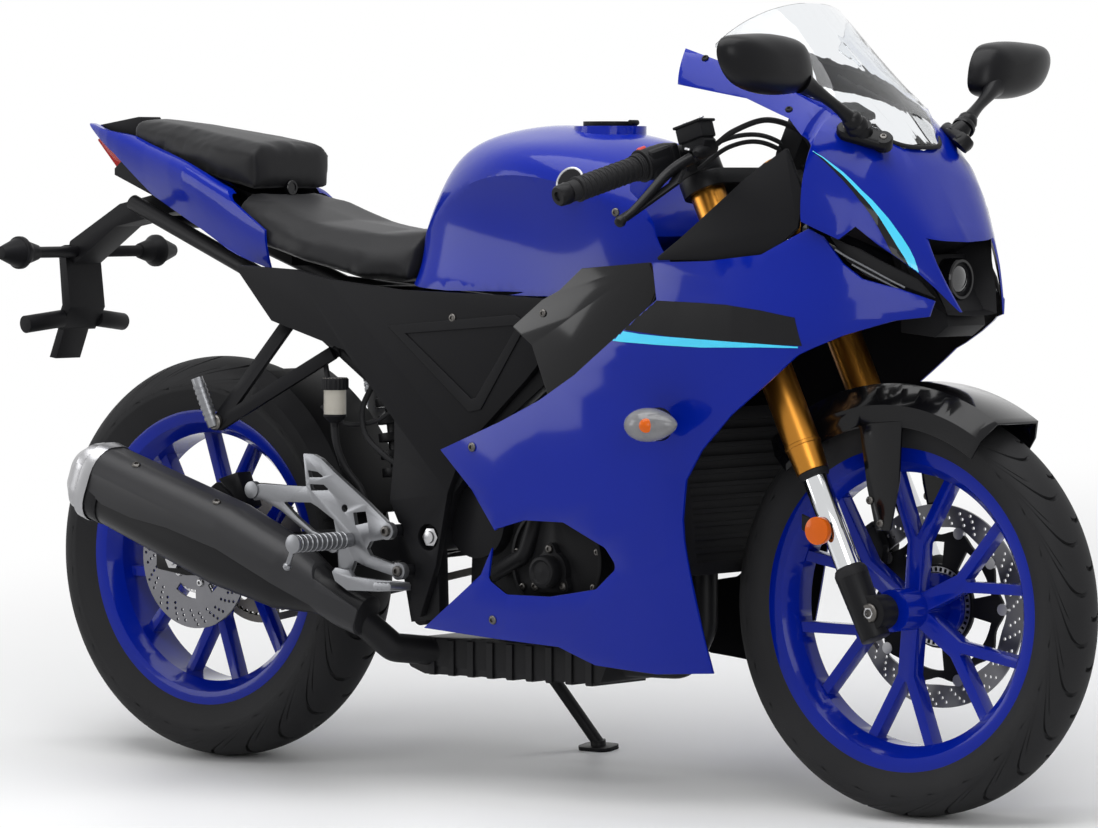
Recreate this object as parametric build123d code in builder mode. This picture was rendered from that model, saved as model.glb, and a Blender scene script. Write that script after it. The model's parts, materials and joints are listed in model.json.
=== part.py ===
"""A 125-class sport motorcycle leaning on its side stand, as separate parts.

The machine is drawn upright: X runs forward from the rear axle, Y to the rider's left and
Z up from the ground. Lateral places are given as "out", the distance from the centre plane,
and right-hand pieces (towards -Y) are drawn first. At the end every part is leaned over
onto the side stand, with the origin under the middle of the parked machine.
"""

import math
import os

from build123d import *

# ---- driving dimensions (mm, degrees) ----
WHEELBASE = 1325.0
FRONT_TYRE_RADIUS = 296.0
FRONT_TYRE_WIDTH = 100.0
REAR_TYRE_RADIUS = 314.0
REAR_TYRE_WIDTH = 140.0
RIM_RADIUS = 231.0
FRONT_RIM_WIDTH = 78.0
REAR_RIM_WIDTH = 110.0
CASTER = 25.5
TRAIL = 95.0
FORK_OFFSET = 27.0
FORK_SPREAD = 98.0
STEERING_LOCK = 32.0
PARKED_LEAN = 8.0
STAND_SWING = 99.0
CAP_SWING = 100.0
RUNNING_CLEARANCE = 0.05
PANEL = 4.5

# ---- places worked out from them ----
REAR_AXLE = Vector(0, 0, REAR_TYRE_RADIUS)
FRONT_AXLE = Vector(WHEELBASE, 0, FRONT_TYRE_RADIUS)
HEAD_UP = Vector(-math.sin(math.radians(CASTER)), 0, math.cos(math.radians(CASTER)))
HEAD_FORWARD = Vector(HEAD_UP.Z, 0, -HEAD_UP.X)
GROUND_HIT = Vector(WHEELBASE + TRAIL, 0, 0)
AXLE_OFFSET = (FRONT_AXLE - GROUND_HIT).dot(HEAD_FORWARD)
HEAD_FOOT = FRONT_AXLE - HEAD_FORWARD * AXLE_OFFSET


def head_point(height, forward=0.0, out=0.0):
    """A place in the steering head's frame, "out" towards the right."""
    return HEAD_FOOT + HEAD_UP * height + HEAD_FORWARD * forward + Vector(0, -out, 0)


def head_plane(height, forward=0.0, out=0.0):
    """A plane across the steering axis: local x forward, local y to the left."""
    return Plane(origin=head_point(height, forward, out), x_dir=HEAD_FORWARD, z_dir=HEAD_UP)


def side_plane(out):
    """A plane seen from the right: local x is X and local y is Z."""
    return Plane.XZ.offset(out)


def outline(points, radius=0.0):
    """A closed straight-sided outline with its corners rounded."""
    with BuildSketch(mode=Mode.PRIVATE) as shape:
        with BuildLine():
            Polyline(points, close=True)
        make_face()
        if radius:
            fillet(shape.vertices(), radius)
    return shape.sketch


def plate(points, inner, outer, radius=0.0):
    """A solid with a side outline, from "inner" to "outer" out from the centre plane."""
    with BuildPart() as made:
        with BuildSketch(side_plane(inner)):
            add(outline(points, radius))
        extrude(amount=outer - inner)
    return made.part


def rod(start, end, radius, end_radius=None):
    """A round bar between two places, tapered if it has a second radius."""
    start, end = Vector(*start), Vector(*end)
    span = end - start
    with BuildPart() as made:
        with BuildSketch(Plane(origin=start, z_dir=span)):
            Circle(radius)
        if end_radius is None:
            extrude(amount=span.length)
        else:
            with BuildSketch(Plane(origin=end, z_dir=span)):
                Circle(end_radius)
            loft()
    return made.part


def bent_rod(points, radius, bend):
    """A round bar or hose along straight runs joined by arcs."""
    points = [Vector(*p) for p in points]
    with BuildPart() as made:
        with BuildLine() as path:
            if len(points) > 2:
                FilletPolyline(*points, radius=bend)
            else:
                Line(*points)
        with BuildSketch(Plane(origin=points[0], z_dir=points[1] - points[0])):
            Circle(radius)
        sweep(path=path.wires()[0])
    return made.part


def beam(stations):
    """A box beam through stations (x, out, z, width across, depth in side view)."""
    points = [Vector(x, -out, z) for x, out, z, width, depth in stations]
    with BuildPart() as made:
        for here, (x, out, z, width, depth) in enumerate(stations):
            run = points[min(here + 1, len(points) - 1)] - points[max(here - 1, 0)]
            along = Vector(run.X, 0, run.Z)
            with BuildSketch(Plane(origin=points[here], x_dir=(0, 1, 0), z_dir=along)):
                Rectangle(width, depth)
        loft(ruled=True)
    return made.part


def ring(centre, axis, outer, inner, low, high):
    """A ring or disc about an axis, from "low" to "high" along it."""
    with BuildPart() as made:
        with BuildSketch(Plane(origin=centre + axis * low, z_dir=axis)):
            Circle(outer)
            if inner:
                Circle(inner, mode=Mode.SUBTRACT)
        extrude(amount=high - low)
    return made.part


def turned(centre, points):
    """A solid of revolution about a lateral axis, from (left, radius) points."""
    with BuildPart() as made:
        with BuildSketch(Plane(origin=centre, x_dir=(0, 1, 0), z_dir=(1, 0, 0))):
            with BuildLine():
                Polyline(points, close=True)
            make_face()
        revolve(axis=Axis(centre, (0, 1, 0)))
    return made.part


def inset(points, thickness):
    """The same line moved inwards, square to its own runs; points are (out, z) from the top."""
    normals = []
    for (out_a, z_a), (out_b, z_b) in zip(points, points[1:]):
        length = math.hypot(out_b - out_a, z_b - z_a)
        normals.append(((z_b - z_a) / length, (out_a - out_b) / length))
    moved = []
    for here, (out, z) in enumerate(points):
        first = normals[max(here - 1, 0)]
        second = normals[min(here, len(normals) - 1)]
        mean = (first[0] + second[0], first[1] + second[1])
        scale = 2 * thickness / (mean[0] ** 2 + mean[1] ** 2)
        moved.append((out + mean[0] * scale, z + mean[1] * scale))
    return moved


def eased(stations, steps=3):
    """The stations with more between them, on smooth lines through their points."""
    rows = [[(x, out, z) for out, z in points] for x, points in stations]
    first = [tuple(2 * a - b for a, b in zip(p, q)) for p, q in zip(rows[0], rows[1])]
    last = [tuple(2 * a - b for a, b in zip(p, q)) for p, q in zip(rows[-1], rows[-2])]
    line = [first] + rows + [last]
    smooth = []
    for four in zip(line, line[1:], line[2:], line[3:]):
        for step in range(steps):
            t = step / steps
            shares = (2 * t * t - t - t ** 3, 2 - 5 * t * t + 3 * t ** 3, t + 4 * t * t - 3 * t ** 3,
                      t ** 3 - t * t)
            smooth.append([tuple(sum(share * point[k] for share, point in zip(shares, points)) / 2
                                 for k in range(3)) for points in zip(*four)])
    smooth.append(rows[-1])
    return [(row[0][0], [(out, z) for x, out, z in row]) for row in smooth]


def panel(stations, thickness=PANEL):
    """A right-hand moulded shell through stations (x, [(out, z) from the top down])."""
    with BuildPart() as made:
        for x, points in eased(stations):
            skin = [(-out, z) for out, z in points]
            lining = [(-out, z) for out, z in inset(points, thickness)[::-1]]
            with BuildSketch(Plane.YZ.offset(x)):
                with BuildLine():
                    Spline(skin)
                    Line(skin[-1], lining[0])
                    Spline(lining)
                    Line(lining[-1], skin[0])
                make_face()
        loft(ruled=True)
    return made.part


def canopy(stations, thickness=PANEL):
    """The right half of a shell over the centre plane, from (x, [(out, z) from the middle outwards])."""
    with BuildPart() as made:
        for x, points in eased(stations):
            inner = inset(points, thickness)
            inner[0] = (0, points[0][1] - thickness)
            skin = [(-out, z) for out, z in points]
            lining = [(-out, z) for out, z in inner[::-1]]
            with BuildSketch(Plane.YZ.offset(x)):
                with BuildLine():
                    Spline(skin)
                    Line(skin[-1], lining[0])
                    Spline(lining)
                    Line(lining[-1], skin[0])
                make_face()
        loft(ruled=True)
    return made.part


def body(stations, ruled=False):
    """A solid symmetric about the centre plane, from (x, [(out, z) from the top down])."""
    with BuildPart() as made:
        for x, points in stations:
            left = [(out, z) for out, z in points]
            right = [(-out, z) for out, z in reversed(points) if out]
            with BuildSketch(Plane.YZ.offset(x)):
                add(outline(left + right))
        loft(ruled=ruled)
    return made.part


def moulded(stations, crown):
    """A solid with a smooth crown and smooth flanks, creased where they meet.

    Stations are (x, [(out, z) from the middle outwards]); the crown takes the first "crown" points.
    """
    with BuildPart() as made:
        for x, points in stations:
            top = [(-out, z) for out, z in points[crown - 1:0:-1]] + points[:crown]
            flank = points[crown - 1:]
            with BuildSketch(Plane.YZ.offset(x)):
                with BuildLine():
                    Spline(top)
                    Spline(flank)
                    Line(flank[-1], (-flank[-1][0], flank[-1][1]))
                    Spline([(-out, z) for out, z in reversed(flank)])
                make_face()
        loft()
    return made.part


# ---- wheels ----
HUB_RADIUS = 30.0
SPLIT_RADIUS = 95.0
SPOKE_REACH = 203.0
SPOKE_DEPTH = 24.0
STEM_WIDTH = 27.0
ARM_WIDTH = 15.0
Y_SPOKES = 6
Y_SPREAD = 15.0
AXLE_RADIUS = 8.5
FRONT_DISC_RADIUS = 146.0
REAR_DISC_RADIUS = 110.0
DISC_THICKNESS = 4.0
FRONT_DISC_OUT = -60.0
REAR_DISC_OUT = 72.0
SPROCKET_OUT = -81.0
CHAIN_PITCH = 12.7
REAR_TEETH = 52
FRONT_TEETH = 14
ROLLER_RADIUS = 4.25
SPROCKET_GAP = 0.6


def tyre(axle, radius, width, rim_width):
    """A tyre seated on the rim's beads, with a round crown."""
    bead = rim_width / 2 - 6
    seat = RIM_RADIUS - 15
    widest = RIM_RADIUS + 29
    with BuildPart() as made:
        with BuildSketch(Plane(origin=axle, x_dir=(0, 1, 0), z_dir=(1, 0, 0))):
            with BuildLine():
                Polyline((bead, seat), (-bead, seat), (-bead - 1, RIM_RADIUS))
                Line((-bead - 1, RIM_RADIUS), (-width / 2, widest))
                ThreePointArc((-width / 2, widest), (0, radius), (width / 2, widest))
                Polyline((width / 2, widest), (bead + 1, RIM_RADIUS), (bead, seat))
            make_face()
        revolve(axis=Axis(axle, (0, 1, 0)))
    return made.part


def rim(axle, width, hub_half, first_spoke):
    """A cast wheel: flanged rim, hub, and Y-shaped spokes."""
    half = width / 2
    seat = RIM_RADIUS - 15
    section = [
        (half, RIM_RADIUS), (half - 5, RIM_RADIUS), (half - 6, seat), (half - 20, seat - 2),
        (half - 26, seat - 13), (26 - half, seat - 13), (20 - half, seat - 2), (6 - half, seat),
        (5 - half, RIM_RADIUS), (-half, RIM_RADIUS), (3 - half, seat - 5), (24 - half, seat - 21),
        (half - 24, seat - 21), (half - 3, seat - 5),
    ]
    with BuildPart() as made:
        add(turned(axle, section))
        add(ring(axle, Vector(0, 1, 0), HUB_RADIUS, 0, -hub_half, hub_half))
        with BuildSketch(Plane(origin=axle - Vector(0, SPOKE_DEPTH / 2, 0),
                               x_dir=(1, 0, 0), z_dir=(0, -1, 0)).offset(-SPOKE_DEPTH)):
            for number in range(Y_SPOKES):
                turn = first_spoke + number * 360 / Y_SPOKES
                with Locations(Rotation(0, 0, turn)):
                    with Locations((SPLIT_RADIUS / 2 + 10, 0)):
                        Rectangle(SPLIT_RADIUS, STEM_WIDTH)
                for side in (-1, 1):
                    start = polar(SPLIT_RADIUS - 12, turn)
                    end = polar(SPOKE_REACH, turn + side * Y_SPREAD)
                    add(bar_2d(start, end, ARM_WIDTH))
        extrude(amount=SPOKE_DEPTH)
        add(ring(axle, Vector(0, 1, 0), AXLE_RADIUS + RUNNING_CLEARANCE, 0, -hub_half, hub_half),
            mode=Mode.SUBTRACT)
    return made.part


def polar(radius, degrees):
    """A point on a circle about the origin."""
    return radius * math.cos(math.radians(degrees)), radius * math.sin(math.radians(degrees))


def bar_2d(start, end, width):
    """A straight bar in a sketch, between two points."""
    (x_a, y_a), (x_b, y_b) = start, end
    length = math.hypot(x_b - x_a, y_b - y_a)
    across = (-(y_b - y_a) / length * width / 2, (x_b - x_a) / length * width / 2)
    return outline([
        (x_a + across[0], y_a + across[1]), (x_b + across[0], y_b + across[1]),
        (x_b - across[0], y_b - across[1]), (x_a - across[0], y_a - across[1]),
    ])


def brake_disc(axle, radius, out, carrier):
    """A flat brake disc with arms to a carrier ring."""
    left = -out
    inner = radius - 36
    with BuildPart() as made:
        with BuildSketch(Plane(origin=axle + Vector(0, left - DISC_THICKNESS / 2, 0),
                               x_dir=(1, 0, 0), z_dir=(0, 1, 0))):
            Circle(radius)
            Circle(inner, mode=Mode.SUBTRACT)
            Circle(carrier)
            with PolarLocations((carrier + inner) / 2, 5):
                Rectangle(inner - carrier + 12, 16)
            Circle(HUB_RADIUS - 6, mode=Mode.SUBTRACT)
        extrude(amount=DISC_THICKNESS)
    return made.part


FRONT_HUB_HALF = 58.0
REAR_HUB_HALF = 60.0
with BuildPart() as front_rim:
    add(rim(FRONT_AXLE, FRONT_RIM_WIDTH, FRONT_HUB_HALF, -35))
    hub_face = -FRONT_DISC_OUT - DISC_THICKNESS / 2
    add(ring(FRONT_AXLE, Vector(0, 1, 0), 48, HUB_RADIUS - 1, hub_face - 14, hub_face))
    add(ring(FRONT_AXLE, Vector(0, 1, 0), HUB_RADIUS - 6, AXLE_RADIUS + RUNNING_CLEARANCE,
             hub_face - 14, FRONT_HUB_HALF + 10))

with BuildPart() as front_tyre:
    add(tyre(FRONT_AXLE, FRONT_TYRE_RADIUS, FRONT_TYRE_WIDTH, FRONT_RIM_WIDTH))

with BuildPart() as front_disc:
    add(brake_disc(FRONT_AXLE, FRONT_DISC_RADIUS, FRONT_DISC_OUT, 48))

with BuildPart() as rear_rim:
    add(rim(REAR_AXLE, REAR_RIM_WIDTH, REAR_HUB_HALF, 84))
    add(ring(REAR_AXLE, Vector(0, 1, 0), 45, HUB_RADIUS - 1,
             -REAR_DISC_OUT + DISC_THICKNESS / 2, -REAR_DISC_OUT + 14))
    add(ring(REAR_AXLE, Vector(0, 1, 0), 52, HUB_RADIUS - 1,
             REAR_HUB_HALF - 8, -SPROCKET_OUT - 3.5))
    add(ring(REAR_AXLE, Vector(0, 1, 0), HUB_RADIUS - 6.5, AXLE_RADIUS + RUNNING_CLEARANCE,
             -REAR_DISC_OUT - DISC_THICKNESS / 2 - 2, -SPROCKET_OUT + 6))

with BuildPart() as rear_tyre:
    add(tyre(REAR_AXLE, REAR_TYRE_RADIUS, REAR_TYRE_WIDTH, REAR_RIM_WIDTH))

with BuildPart() as rear_disc:
    add(brake_disc(REAR_AXLE, REAR_DISC_RADIUS, REAR_DISC_OUT, 45))

REAR_PITCH_RADIUS = CHAIN_PITCH / 2 / math.sin(math.pi / REAR_TEETH)
FRONT_PITCH_RADIUS = CHAIN_PITCH / 2 / math.sin(math.pi / FRONT_TEETH)
with BuildPart() as rear_sprocket:
    tip = REAR_PITCH_RADIUS - ROLLER_RADIUS - SPROCKET_GAP
    with BuildSketch(Plane(origin=REAR_AXLE + Vector(0, -SPROCKET_OUT - 3.5, 0),
                           x_dir=(1, 0, 0), z_dir=(0, 1, 0))):
        Circle(tip - 5)
        with PolarLocations(tip - 4, REAR_TEETH):
            Trapezoid(8, 8, 68, rotation=-90)
        Circle(HUB_RADIUS - 6, mode=Mode.SUBTRACT)
        with PolarLocations(72, 6):
            Circle(14, mode=Mode.SUBTRACT)
    extrude(amount=6)

# ---- chain and swingarm ----
ENGINE_SPROCKET = Vector(605, 0, 372)
PIVOT = Vector(537, 0, 372)
ARM_OUT = 104.0
ARM_THICKNESS = 24.0
CHAIN_GAP = 8.0
CHAIN_PLATE = 1.6
CHAIN_HALF = 5.4
PIVOT_RADIUS = 9.0


def chain_hull(grow):
    """The area inside the chain's pitch line, grown or shrunk, in side view."""
    with BuildSketch(mode=Mode.PRIVATE) as shape:
        for centre, radius in ((REAR_AXLE, REAR_PITCH_RADIUS), (ENGINE_SPROCKET, FRONT_PITCH_RADIUS)):
            with Locations((centre.X, centre.Z)):
                Circle(radius + grow)
        make_hull()
    return shape.sketch


with BuildPart() as chain:
    for low in (CHAIN_GAP / 2, -CHAIN_GAP / 2 - CHAIN_PLATE):
        with BuildSketch(side_plane(SPROCKET_OUT + low)):
            add(chain_hull(CHAIN_HALF))
            add(chain_hull(-CHAIN_HALF), mode=Mode.SUBTRACT)
        extrude(amount=CHAIN_PLATE)
    pitch_line = chain_hull(0).face().outer_wire()
    links = round(pitch_line.length / CHAIN_PITCH)
    with BuildSketch(side_plane(SPROCKET_OUT - CHAIN_GAP / 2)):
        with Locations(*[pitch_line.position_at(number / links) for number in range(links)]):
            RegularPolygon(ROLLER_RADIUS, 6)
    extrude(amount=CHAIN_GAP, clean=False)

with BuildPart() as swingarm:
    add(beam([(PIVOT.X, 57, PIVOT.Z - 4, ARM_THICKNESS, 40), (430, 78, 356, ARM_THICKNESS, 54),
              (280, ARM_OUT, 340, ARM_THICKNESS, 60), (70, ARM_OUT, 321, ARM_THICKNESS, 56)]))
    add(plate([(75, 350), (20, 342), (-42, 332), (-42, 298), (20, 290), (75, 292)],
              ARM_OUT - 10, ARM_OUT + 12, 6))
    mirror(about=Plane.XZ)
    add(ring(PIVOT, Vector(0, 1, 0), 22, 0, -72, 72))
    add(rod((395, -86, 350), (395, 86, 350), 22))
    add(ring(PIVOT, Vector(0, 1, 0), PIVOT_RADIUS, 0, -75, 75), mode=Mode.SUBTRACT)
    add(rod((REAR_AXLE.X, 125, REAR_AXLE.Z), (REAR_AXLE.X, -125, REAR_AXLE.Z), AXLE_RADIUS),
        mode=Mode.SUBTRACT)

# ---- where the side stand turns and where it meets the ground ----
LEAN = math.radians(PARKED_LEAN)
REAR_CROWN = ((REAR_TYRE_WIDTH / 2) ** 2 + (REAR_TYRE_RADIUS - RIM_RADIUS - 29) ** 2) / (
    2 * (REAR_TYRE_RADIUS - RIM_RADIUS - 29))
PARKED_LIFT = REAR_CROWN * (1 - math.cos(LEAN))
STAND_PIVOT = Vector(490, 132, 212)
STAND_RADIUS = 9.5
STAND_PIN = 6.0
STAND_EYE = 8.0
FOOT_THICKNESS = 6.0
FOOT_X = 578.0
FOOT_LEFT = 214.0


def ground_height(left):
    """The parked ground's height in the upright frame, at a distance to the left."""
    return (left * math.sin(LEAN) - PARKED_LIFT) / math.cos(LEAN)


STAND_FOOT = Vector(FOOT_X, FOOT_LEFT, ground_height(FOOT_LEFT))
GROUND_UP = Vector(0, -math.sin(LEAN), math.cos(LEAN))
STAND_DEPLOYED = STAND_FOOT - STAND_PIVOT
STAND_FOLDED = Vector(-0.97, 0.14, -0.10)
STAND_AXIS = STAND_DEPLOYED.cross(STAND_FOLDED).normalized()

# ---- frame ----
SPAR_OUT = 118.0
SPAR_WIDTH = 22.0
SPAR_FACE = SPAR_OUT + SPAR_WIDTH / 2
HEAD_LOW = 520.0
HEAD_HIGH = 655.0
HEAD_RADIUS = 32.0
STEM_RADIUS = 14.0
RAIL_RADIUS = 13.0
FOOT_OUT = 158.0
PEG_BRACKET_OUT = 112.0
FOOT_BOLTS = ((477, 380), (500, 321))
PEG_BOLTS = ((236, 88, 690), (322, 95, 642))
SHOCK_LOW = Vector(372, 0, 402)
SHOCK_HIGH = Vector(330, 0, 716)

with BuildPart() as frame:
    add(beam([(1015, 34, 800, SPAR_WIDTH, 64), (900, 98, 742, SPAR_WIDTH, 68),
              (790, SPAR_OUT, 680, SPAR_WIDTH, 72), (640, SPAR_OUT, 570, SPAR_WIDTH, 76),
              (545, SPAR_OUT, 460, SPAR_WIDTH, 76), (505, SPAR_OUT, 360, SPAR_WIDTH, 80),
              (520, SPAR_OUT, 246, SPAR_WIDTH, 56)]))
    add(rod((760, -SPAR_OUT + 8, 690), (180, -80, 742), RAIL_RADIUS))
    add(rod((180, -80, 742), (-150, -52, 868), RAIL_RADIUS))
    add(rod((560, -SPAR_OUT + 8, 500), (180, -80, 738), RAIL_RADIUS))
    for x, out, z in PEG_BOLTS:
        add(rod((x, -out, z + 8), (x, -PEG_BRACKET_OUT + 4, z), 9))
    for x, z in FOOT_BOLTS:
        add(rod((x, -SPAR_OUT, z), (x, -FOOT_OUT, z), 9))
    mirror(about=Plane.XZ)
    add(rod(head_point(HEAD_LOW), head_point(HEAD_HIGH), HEAD_RADIUS))
    add(rod((965, -76, 774), (965, 76, 774), 22))
    add(rod((512, -SPAR_OUT, 462), (512, SPAR_OUT, 462), 20))
    add(rod((500, -SPAR_OUT, 250), (500, SPAR_OUT, 250), 13))
    add(rod((-70, -59, 838), (-70, 59, 838), 10))
    add(rod((330, -100, 729), (330, 100, 729), 14))
    for side in (-1, 1):
        add(ring(PIVOT, Vector(0, side, 0), 22, 0, 74, SPAR_FACE))
    with BuildSketch(Plane(origin=STAND_PIVOT - STAND_AXIS * 20, x_dir=(1, 0, 0), z_dir=STAND_AXIS)):
        Circle(17)
        with Locations((12, -48)):
            Circle(13)
        make_hull()
    extrude(amount=9.5)
    add(ring(STAND_PIVOT, STAND_AXIS, STAND_PIN, 0, -20, 14))
    add(ring(STAND_PIVOT, STAND_AXIS, STAND_PIN + 4, 0, STAND_EYE + 1, 14))
    add(ring(PIVOT, Vector(0, 1, 0), PIVOT_RADIUS, 0, -140, 140), mode=Mode.SUBTRACT)
    add(rod(head_point(HEAD_LOW - 5), head_point(HEAD_HIGH + 5), STEM_RADIUS + RUNNING_CLEARANCE),
        mode=Mode.SUBTRACT)

# the two cross bolts that the wheel and the swingarm turn on, with their nuts
with BuildPart() as axles:
    for centre, radius, face in ((REAR_AXLE, AXLE_RADIUS, ARM_OUT + 12), (PIVOT, PIVOT_RADIUS, SPAR_FACE)):
        add(ring(centre, Vector(0, 1, 0), radius, 0, -face - 14, face + 14))
        for side in (-1, 1):
            with BuildSketch(side_plane(side * (face + 5) - 5)):
                with Locations((centre.X, centre.Z)):
                    RegularPolygon(15, 6)
            extrude(amount=10)

with BuildPart() as shock:
    shock_run = SHOCK_HIGH - SHOCK_LOW
    add(rod(SHOCK_LOW, SHOCK_HIGH, 17))
    for number in range(8):
        low = 0.16 + number * 0.085
        add(rod(SHOCK_LOW + shock_run * low, SHOCK_LOW + shock_run * (low + 0.042), 31))
    add(frame.part, mode=Mode.SUBTRACT)
    add(swingarm.part, mode=Mode.SUBTRACT)

# ---- engine ----
CASE_HALF = 88.0
CLUTCH_CENTRE = (760, 345)
PUMP_CENTRE = (756, 330)
PUMP_BOLTS = ((755, 363), (728, 307), (781, 309))
PUMP_HOSE = [(720, -CASE_HALF - 22, 410), (704, -CASE_HALF - 30, 352), (630, -CASE_HALF - 18, 318)]
with BuildPart() as engine:
    add(plate([(575, 300), (600, 232), (700, 225), (700, 440), (580, 440)], -54, CASE_HALF, 12))
    add(plate([(658, 240), (800, 222), (880, 255), (885, 330), (850, 420), (700, 440), (658, 430)],
              -CASE_HALF, CASE_HALF, 12))
    add(plate([(700, 430), (860, 400), (925, 560), (880, 640), (780, 650), (715, 520)], -66, 66, 10))
    with BuildSketch(side_plane(CASE_HALF)):
        with Locations(CLUTCH_CENTRE):
            Circle(84)
        with Locations((604, 396)):
            Circle(54)
    extrude(amount=24)
    with BuildSketch(side_plane(CASE_HALF + 24)):
        with Locations(*PUMP_BOLTS):
            Circle(9)
        make_hull()
        with Locations(PUMP_CENTRE):
            Circle(30)
    extrude(amount=12)
    with BuildSketch(side_plane(CASE_HALF + 36)):
        with Locations(PUMP_CENTRE):
            Circle(23)
            Circle(16, mode=Mode.SUBTRACT)
    extrude(amount=12)
    add(bent_rod(PUMP_HOSE, 12, 22))
    with BuildSketch(side_plane(-CASE_HALF - 30)):
        with Locations((760, 320)):
            Circle(78)
    extrude(amount=30)
    add(ring(ENGINE_SPROCKET, Vector(0, 1, 0), FRONT_PITCH_RADIUS - ROLLER_RADIUS - SPROCKET_GAP, 0,
             -SPROCKET_OUT - 3, -SPROCKET_OUT + 3))
    add(ring(ENGINE_SPROCKET, Vector(0, 1, 0), 12, 0, 0, -SPROCKET_OUT + 10))
    add(rod((620, -SPAR_OUT + 11, 418), (620, SPAR_OUT - 11, 418), 13))
    add(rod((790, -SPAR_OUT + 11, 640), (790, SPAR_OUT - 11, 640), 12))
    add(frame.part, mode=Mode.SUBTRACT)

RADIATOR_FRONT = Vector(1012, 0, 455)
with BuildPart() as radiator:
    with BuildSketch(Plane(origin=RADIATOR_FRONT, x_dir=(0, 1, 0), z_dir=(1, 0, 0.12))):
        Rectangle(290, 240)
    extrude(amount=-28)
    with BuildSketch(Plane(origin=RADIATOR_FRONT, x_dir=(0, 1, 0), z_dir=(1, 0, 0.12))):
        with GridLocations(0, 19, 1, 11):
            Rectangle(236, 12)
    extrude(amount=-5, mode=Mode.SUBTRACT)

# ---- silencer ----
PIPE_FRONT = Vector(470, -158, 238)
PIPE_REAR = Vector(-83, -203, 440)
PIPE_ALONG = (PIPE_REAR - PIPE_FRONT).normalized()
PIPE_LENGTH = (PIPE_REAR - PIPE_FRONT).length


SILENCER = ((40, 54, 58), (125, 60, 64), (195, 88, 106), (317, 98, 128), (PIPE_LENGTH, 94, 112))
# the shield's lower edge along the silencer: (distance, height)
SHIELD_EDGE = [(20, -40), (60, -36), (120, -16), (200, -6), (300, 4), (400, -2), (470, -14), (530, -16),
               (585, 0), (585, 90), (190, 90), (130, 24), (40, 12), (20, 0)]
SHIELD_WALL = 3.0


def pipe_plane(distance):
    """A plane across the silencer: local x outwards to the right, local y upwards."""
    return Plane(origin=PIPE_FRONT + PIPE_ALONG * distance, x_dir=(0, -1, 0), z_dir=PIPE_ALONG)


with BuildPart() as exhaust:
    add(bent_rod([(880, 0, 575), (948, 0, 500), (948, 0, 250), (915, 0, 190), (800, 0, 188)], 19, 40))
    add(plate([(430, 168), (420, 200), (450, 214), (790, 214), (815, 198), (800, 162), (460, 158)],
              -70, 60, 8))
    add(bent_rod([(480, -30, 190), (440, -110, 200), (405, -161, 254), (370, -168, 272)], 22, 25))
    for distance, width, height in SILENCER:
        with BuildSketch(pipe_plane(distance)):
            RectangleRounded(width, height, min(width, height) * 0.42)
    loft(ruled=True)
    add(engine.part, mode=Mode.SUBTRACT)

with BuildPart() as silencer_shield:
    for distance, width, height in SILENCER:
        with BuildSketch(pipe_plane(distance)):
            RectangleRounded(width + 2 * SHIELD_WALL, height + 2 * SHIELD_WALL, min(width, height) * 0.42)
    loft(ruled=True)
    with BuildSketch(Plane(origin=PIPE_FRONT, x_dir=PIPE_ALONG, z_dir=(0, -1, 0)).offset(-24)):
        add(outline([(x, -z) for x, z in SHIELD_EDGE]))
    extrude(amount=160, mode=Mode.INTERSECT)
    add(exhaust.part, mode=Mode.SUBTRACT)

with BuildPart() as silencer_cap:
    for distance, width, height in ((PIPE_LENGTH, 96, 114), (PIPE_LENGTH + 16, 92, 108),
                                    (PIPE_LENGTH + 34, 64, 74)):
        with BuildSketch(pipe_plane(distance)):
            RectangleRounded(width, height, min(width, height) * 0.42)
    loft(ruled=True)
    with BuildSketch(pipe_plane(PIPE_LENGTH + 40)):
        Circle(20)
    extrude(amount=-30, mode=Mode.SUBTRACT)

# ---- rear brake, mudguard ----
with BuildPart() as rear_caliper:
    add(plate([(62, 352), (20, 410), (58, 436), (108, 400), (112, 362)], REAR_DISC_OUT - 18,
              REAR_DISC_OUT - 4, 5))
    add(plate([(62, 352), (20, 410), (58, 436), (108, 400), (112, 362)], REAR_DISC_OUT + 4,
              REAR_DISC_OUT + 13, 5))
    add(plate([(88, 420), (60, 440), (100, 452), (124, 400), (110, 392)], REAR_DISC_OUT - 18,
              REAR_DISC_OUT + 13))

GUARD_RADIUS = REAR_TYRE_RADIUS + 14
GUARD_TOP = 64.0
GUARD_FRONT = 14.0


def spoke_plane(axle, degrees):
    """A plane through an axle: local x to the left, local y out along a spoke direction."""
    turn = math.radians(degrees)
    return Plane(origin=axle, x_dir=(0, 1, 0), z_dir=(math.sin(turn), 0, -math.cos(turn)))


with BuildPart() as rear_mudguard:
    with BuildSketch(spoke_plane(REAR_AXLE, GUARD_TOP)):
        with BuildLine():
            Polyline((78, 282), (80, 302), (66, GUARD_RADIUS), (-66, GUARD_RADIUS), (-80, 302),
                     (-78, 282), (-81, 282), (-83, 303), (-68, GUARD_RADIUS + 4),
                     (68, GUARD_RADIUS + 4), (83, 303), (81, 282), close=True)
        make_face()
    revolve(axis=Axis(REAR_AXLE, (0, 1, 0)), revolution_arc=GUARD_TOP - GUARD_FRONT)
    with BuildSketch(side_plane(-100)):
        add(chain_hull(CHAIN_HALF + 6))
    extrude(amount=28, mode=Mode.SUBTRACT)
    add(swingarm.part, mode=Mode.SUBTRACT)

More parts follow.
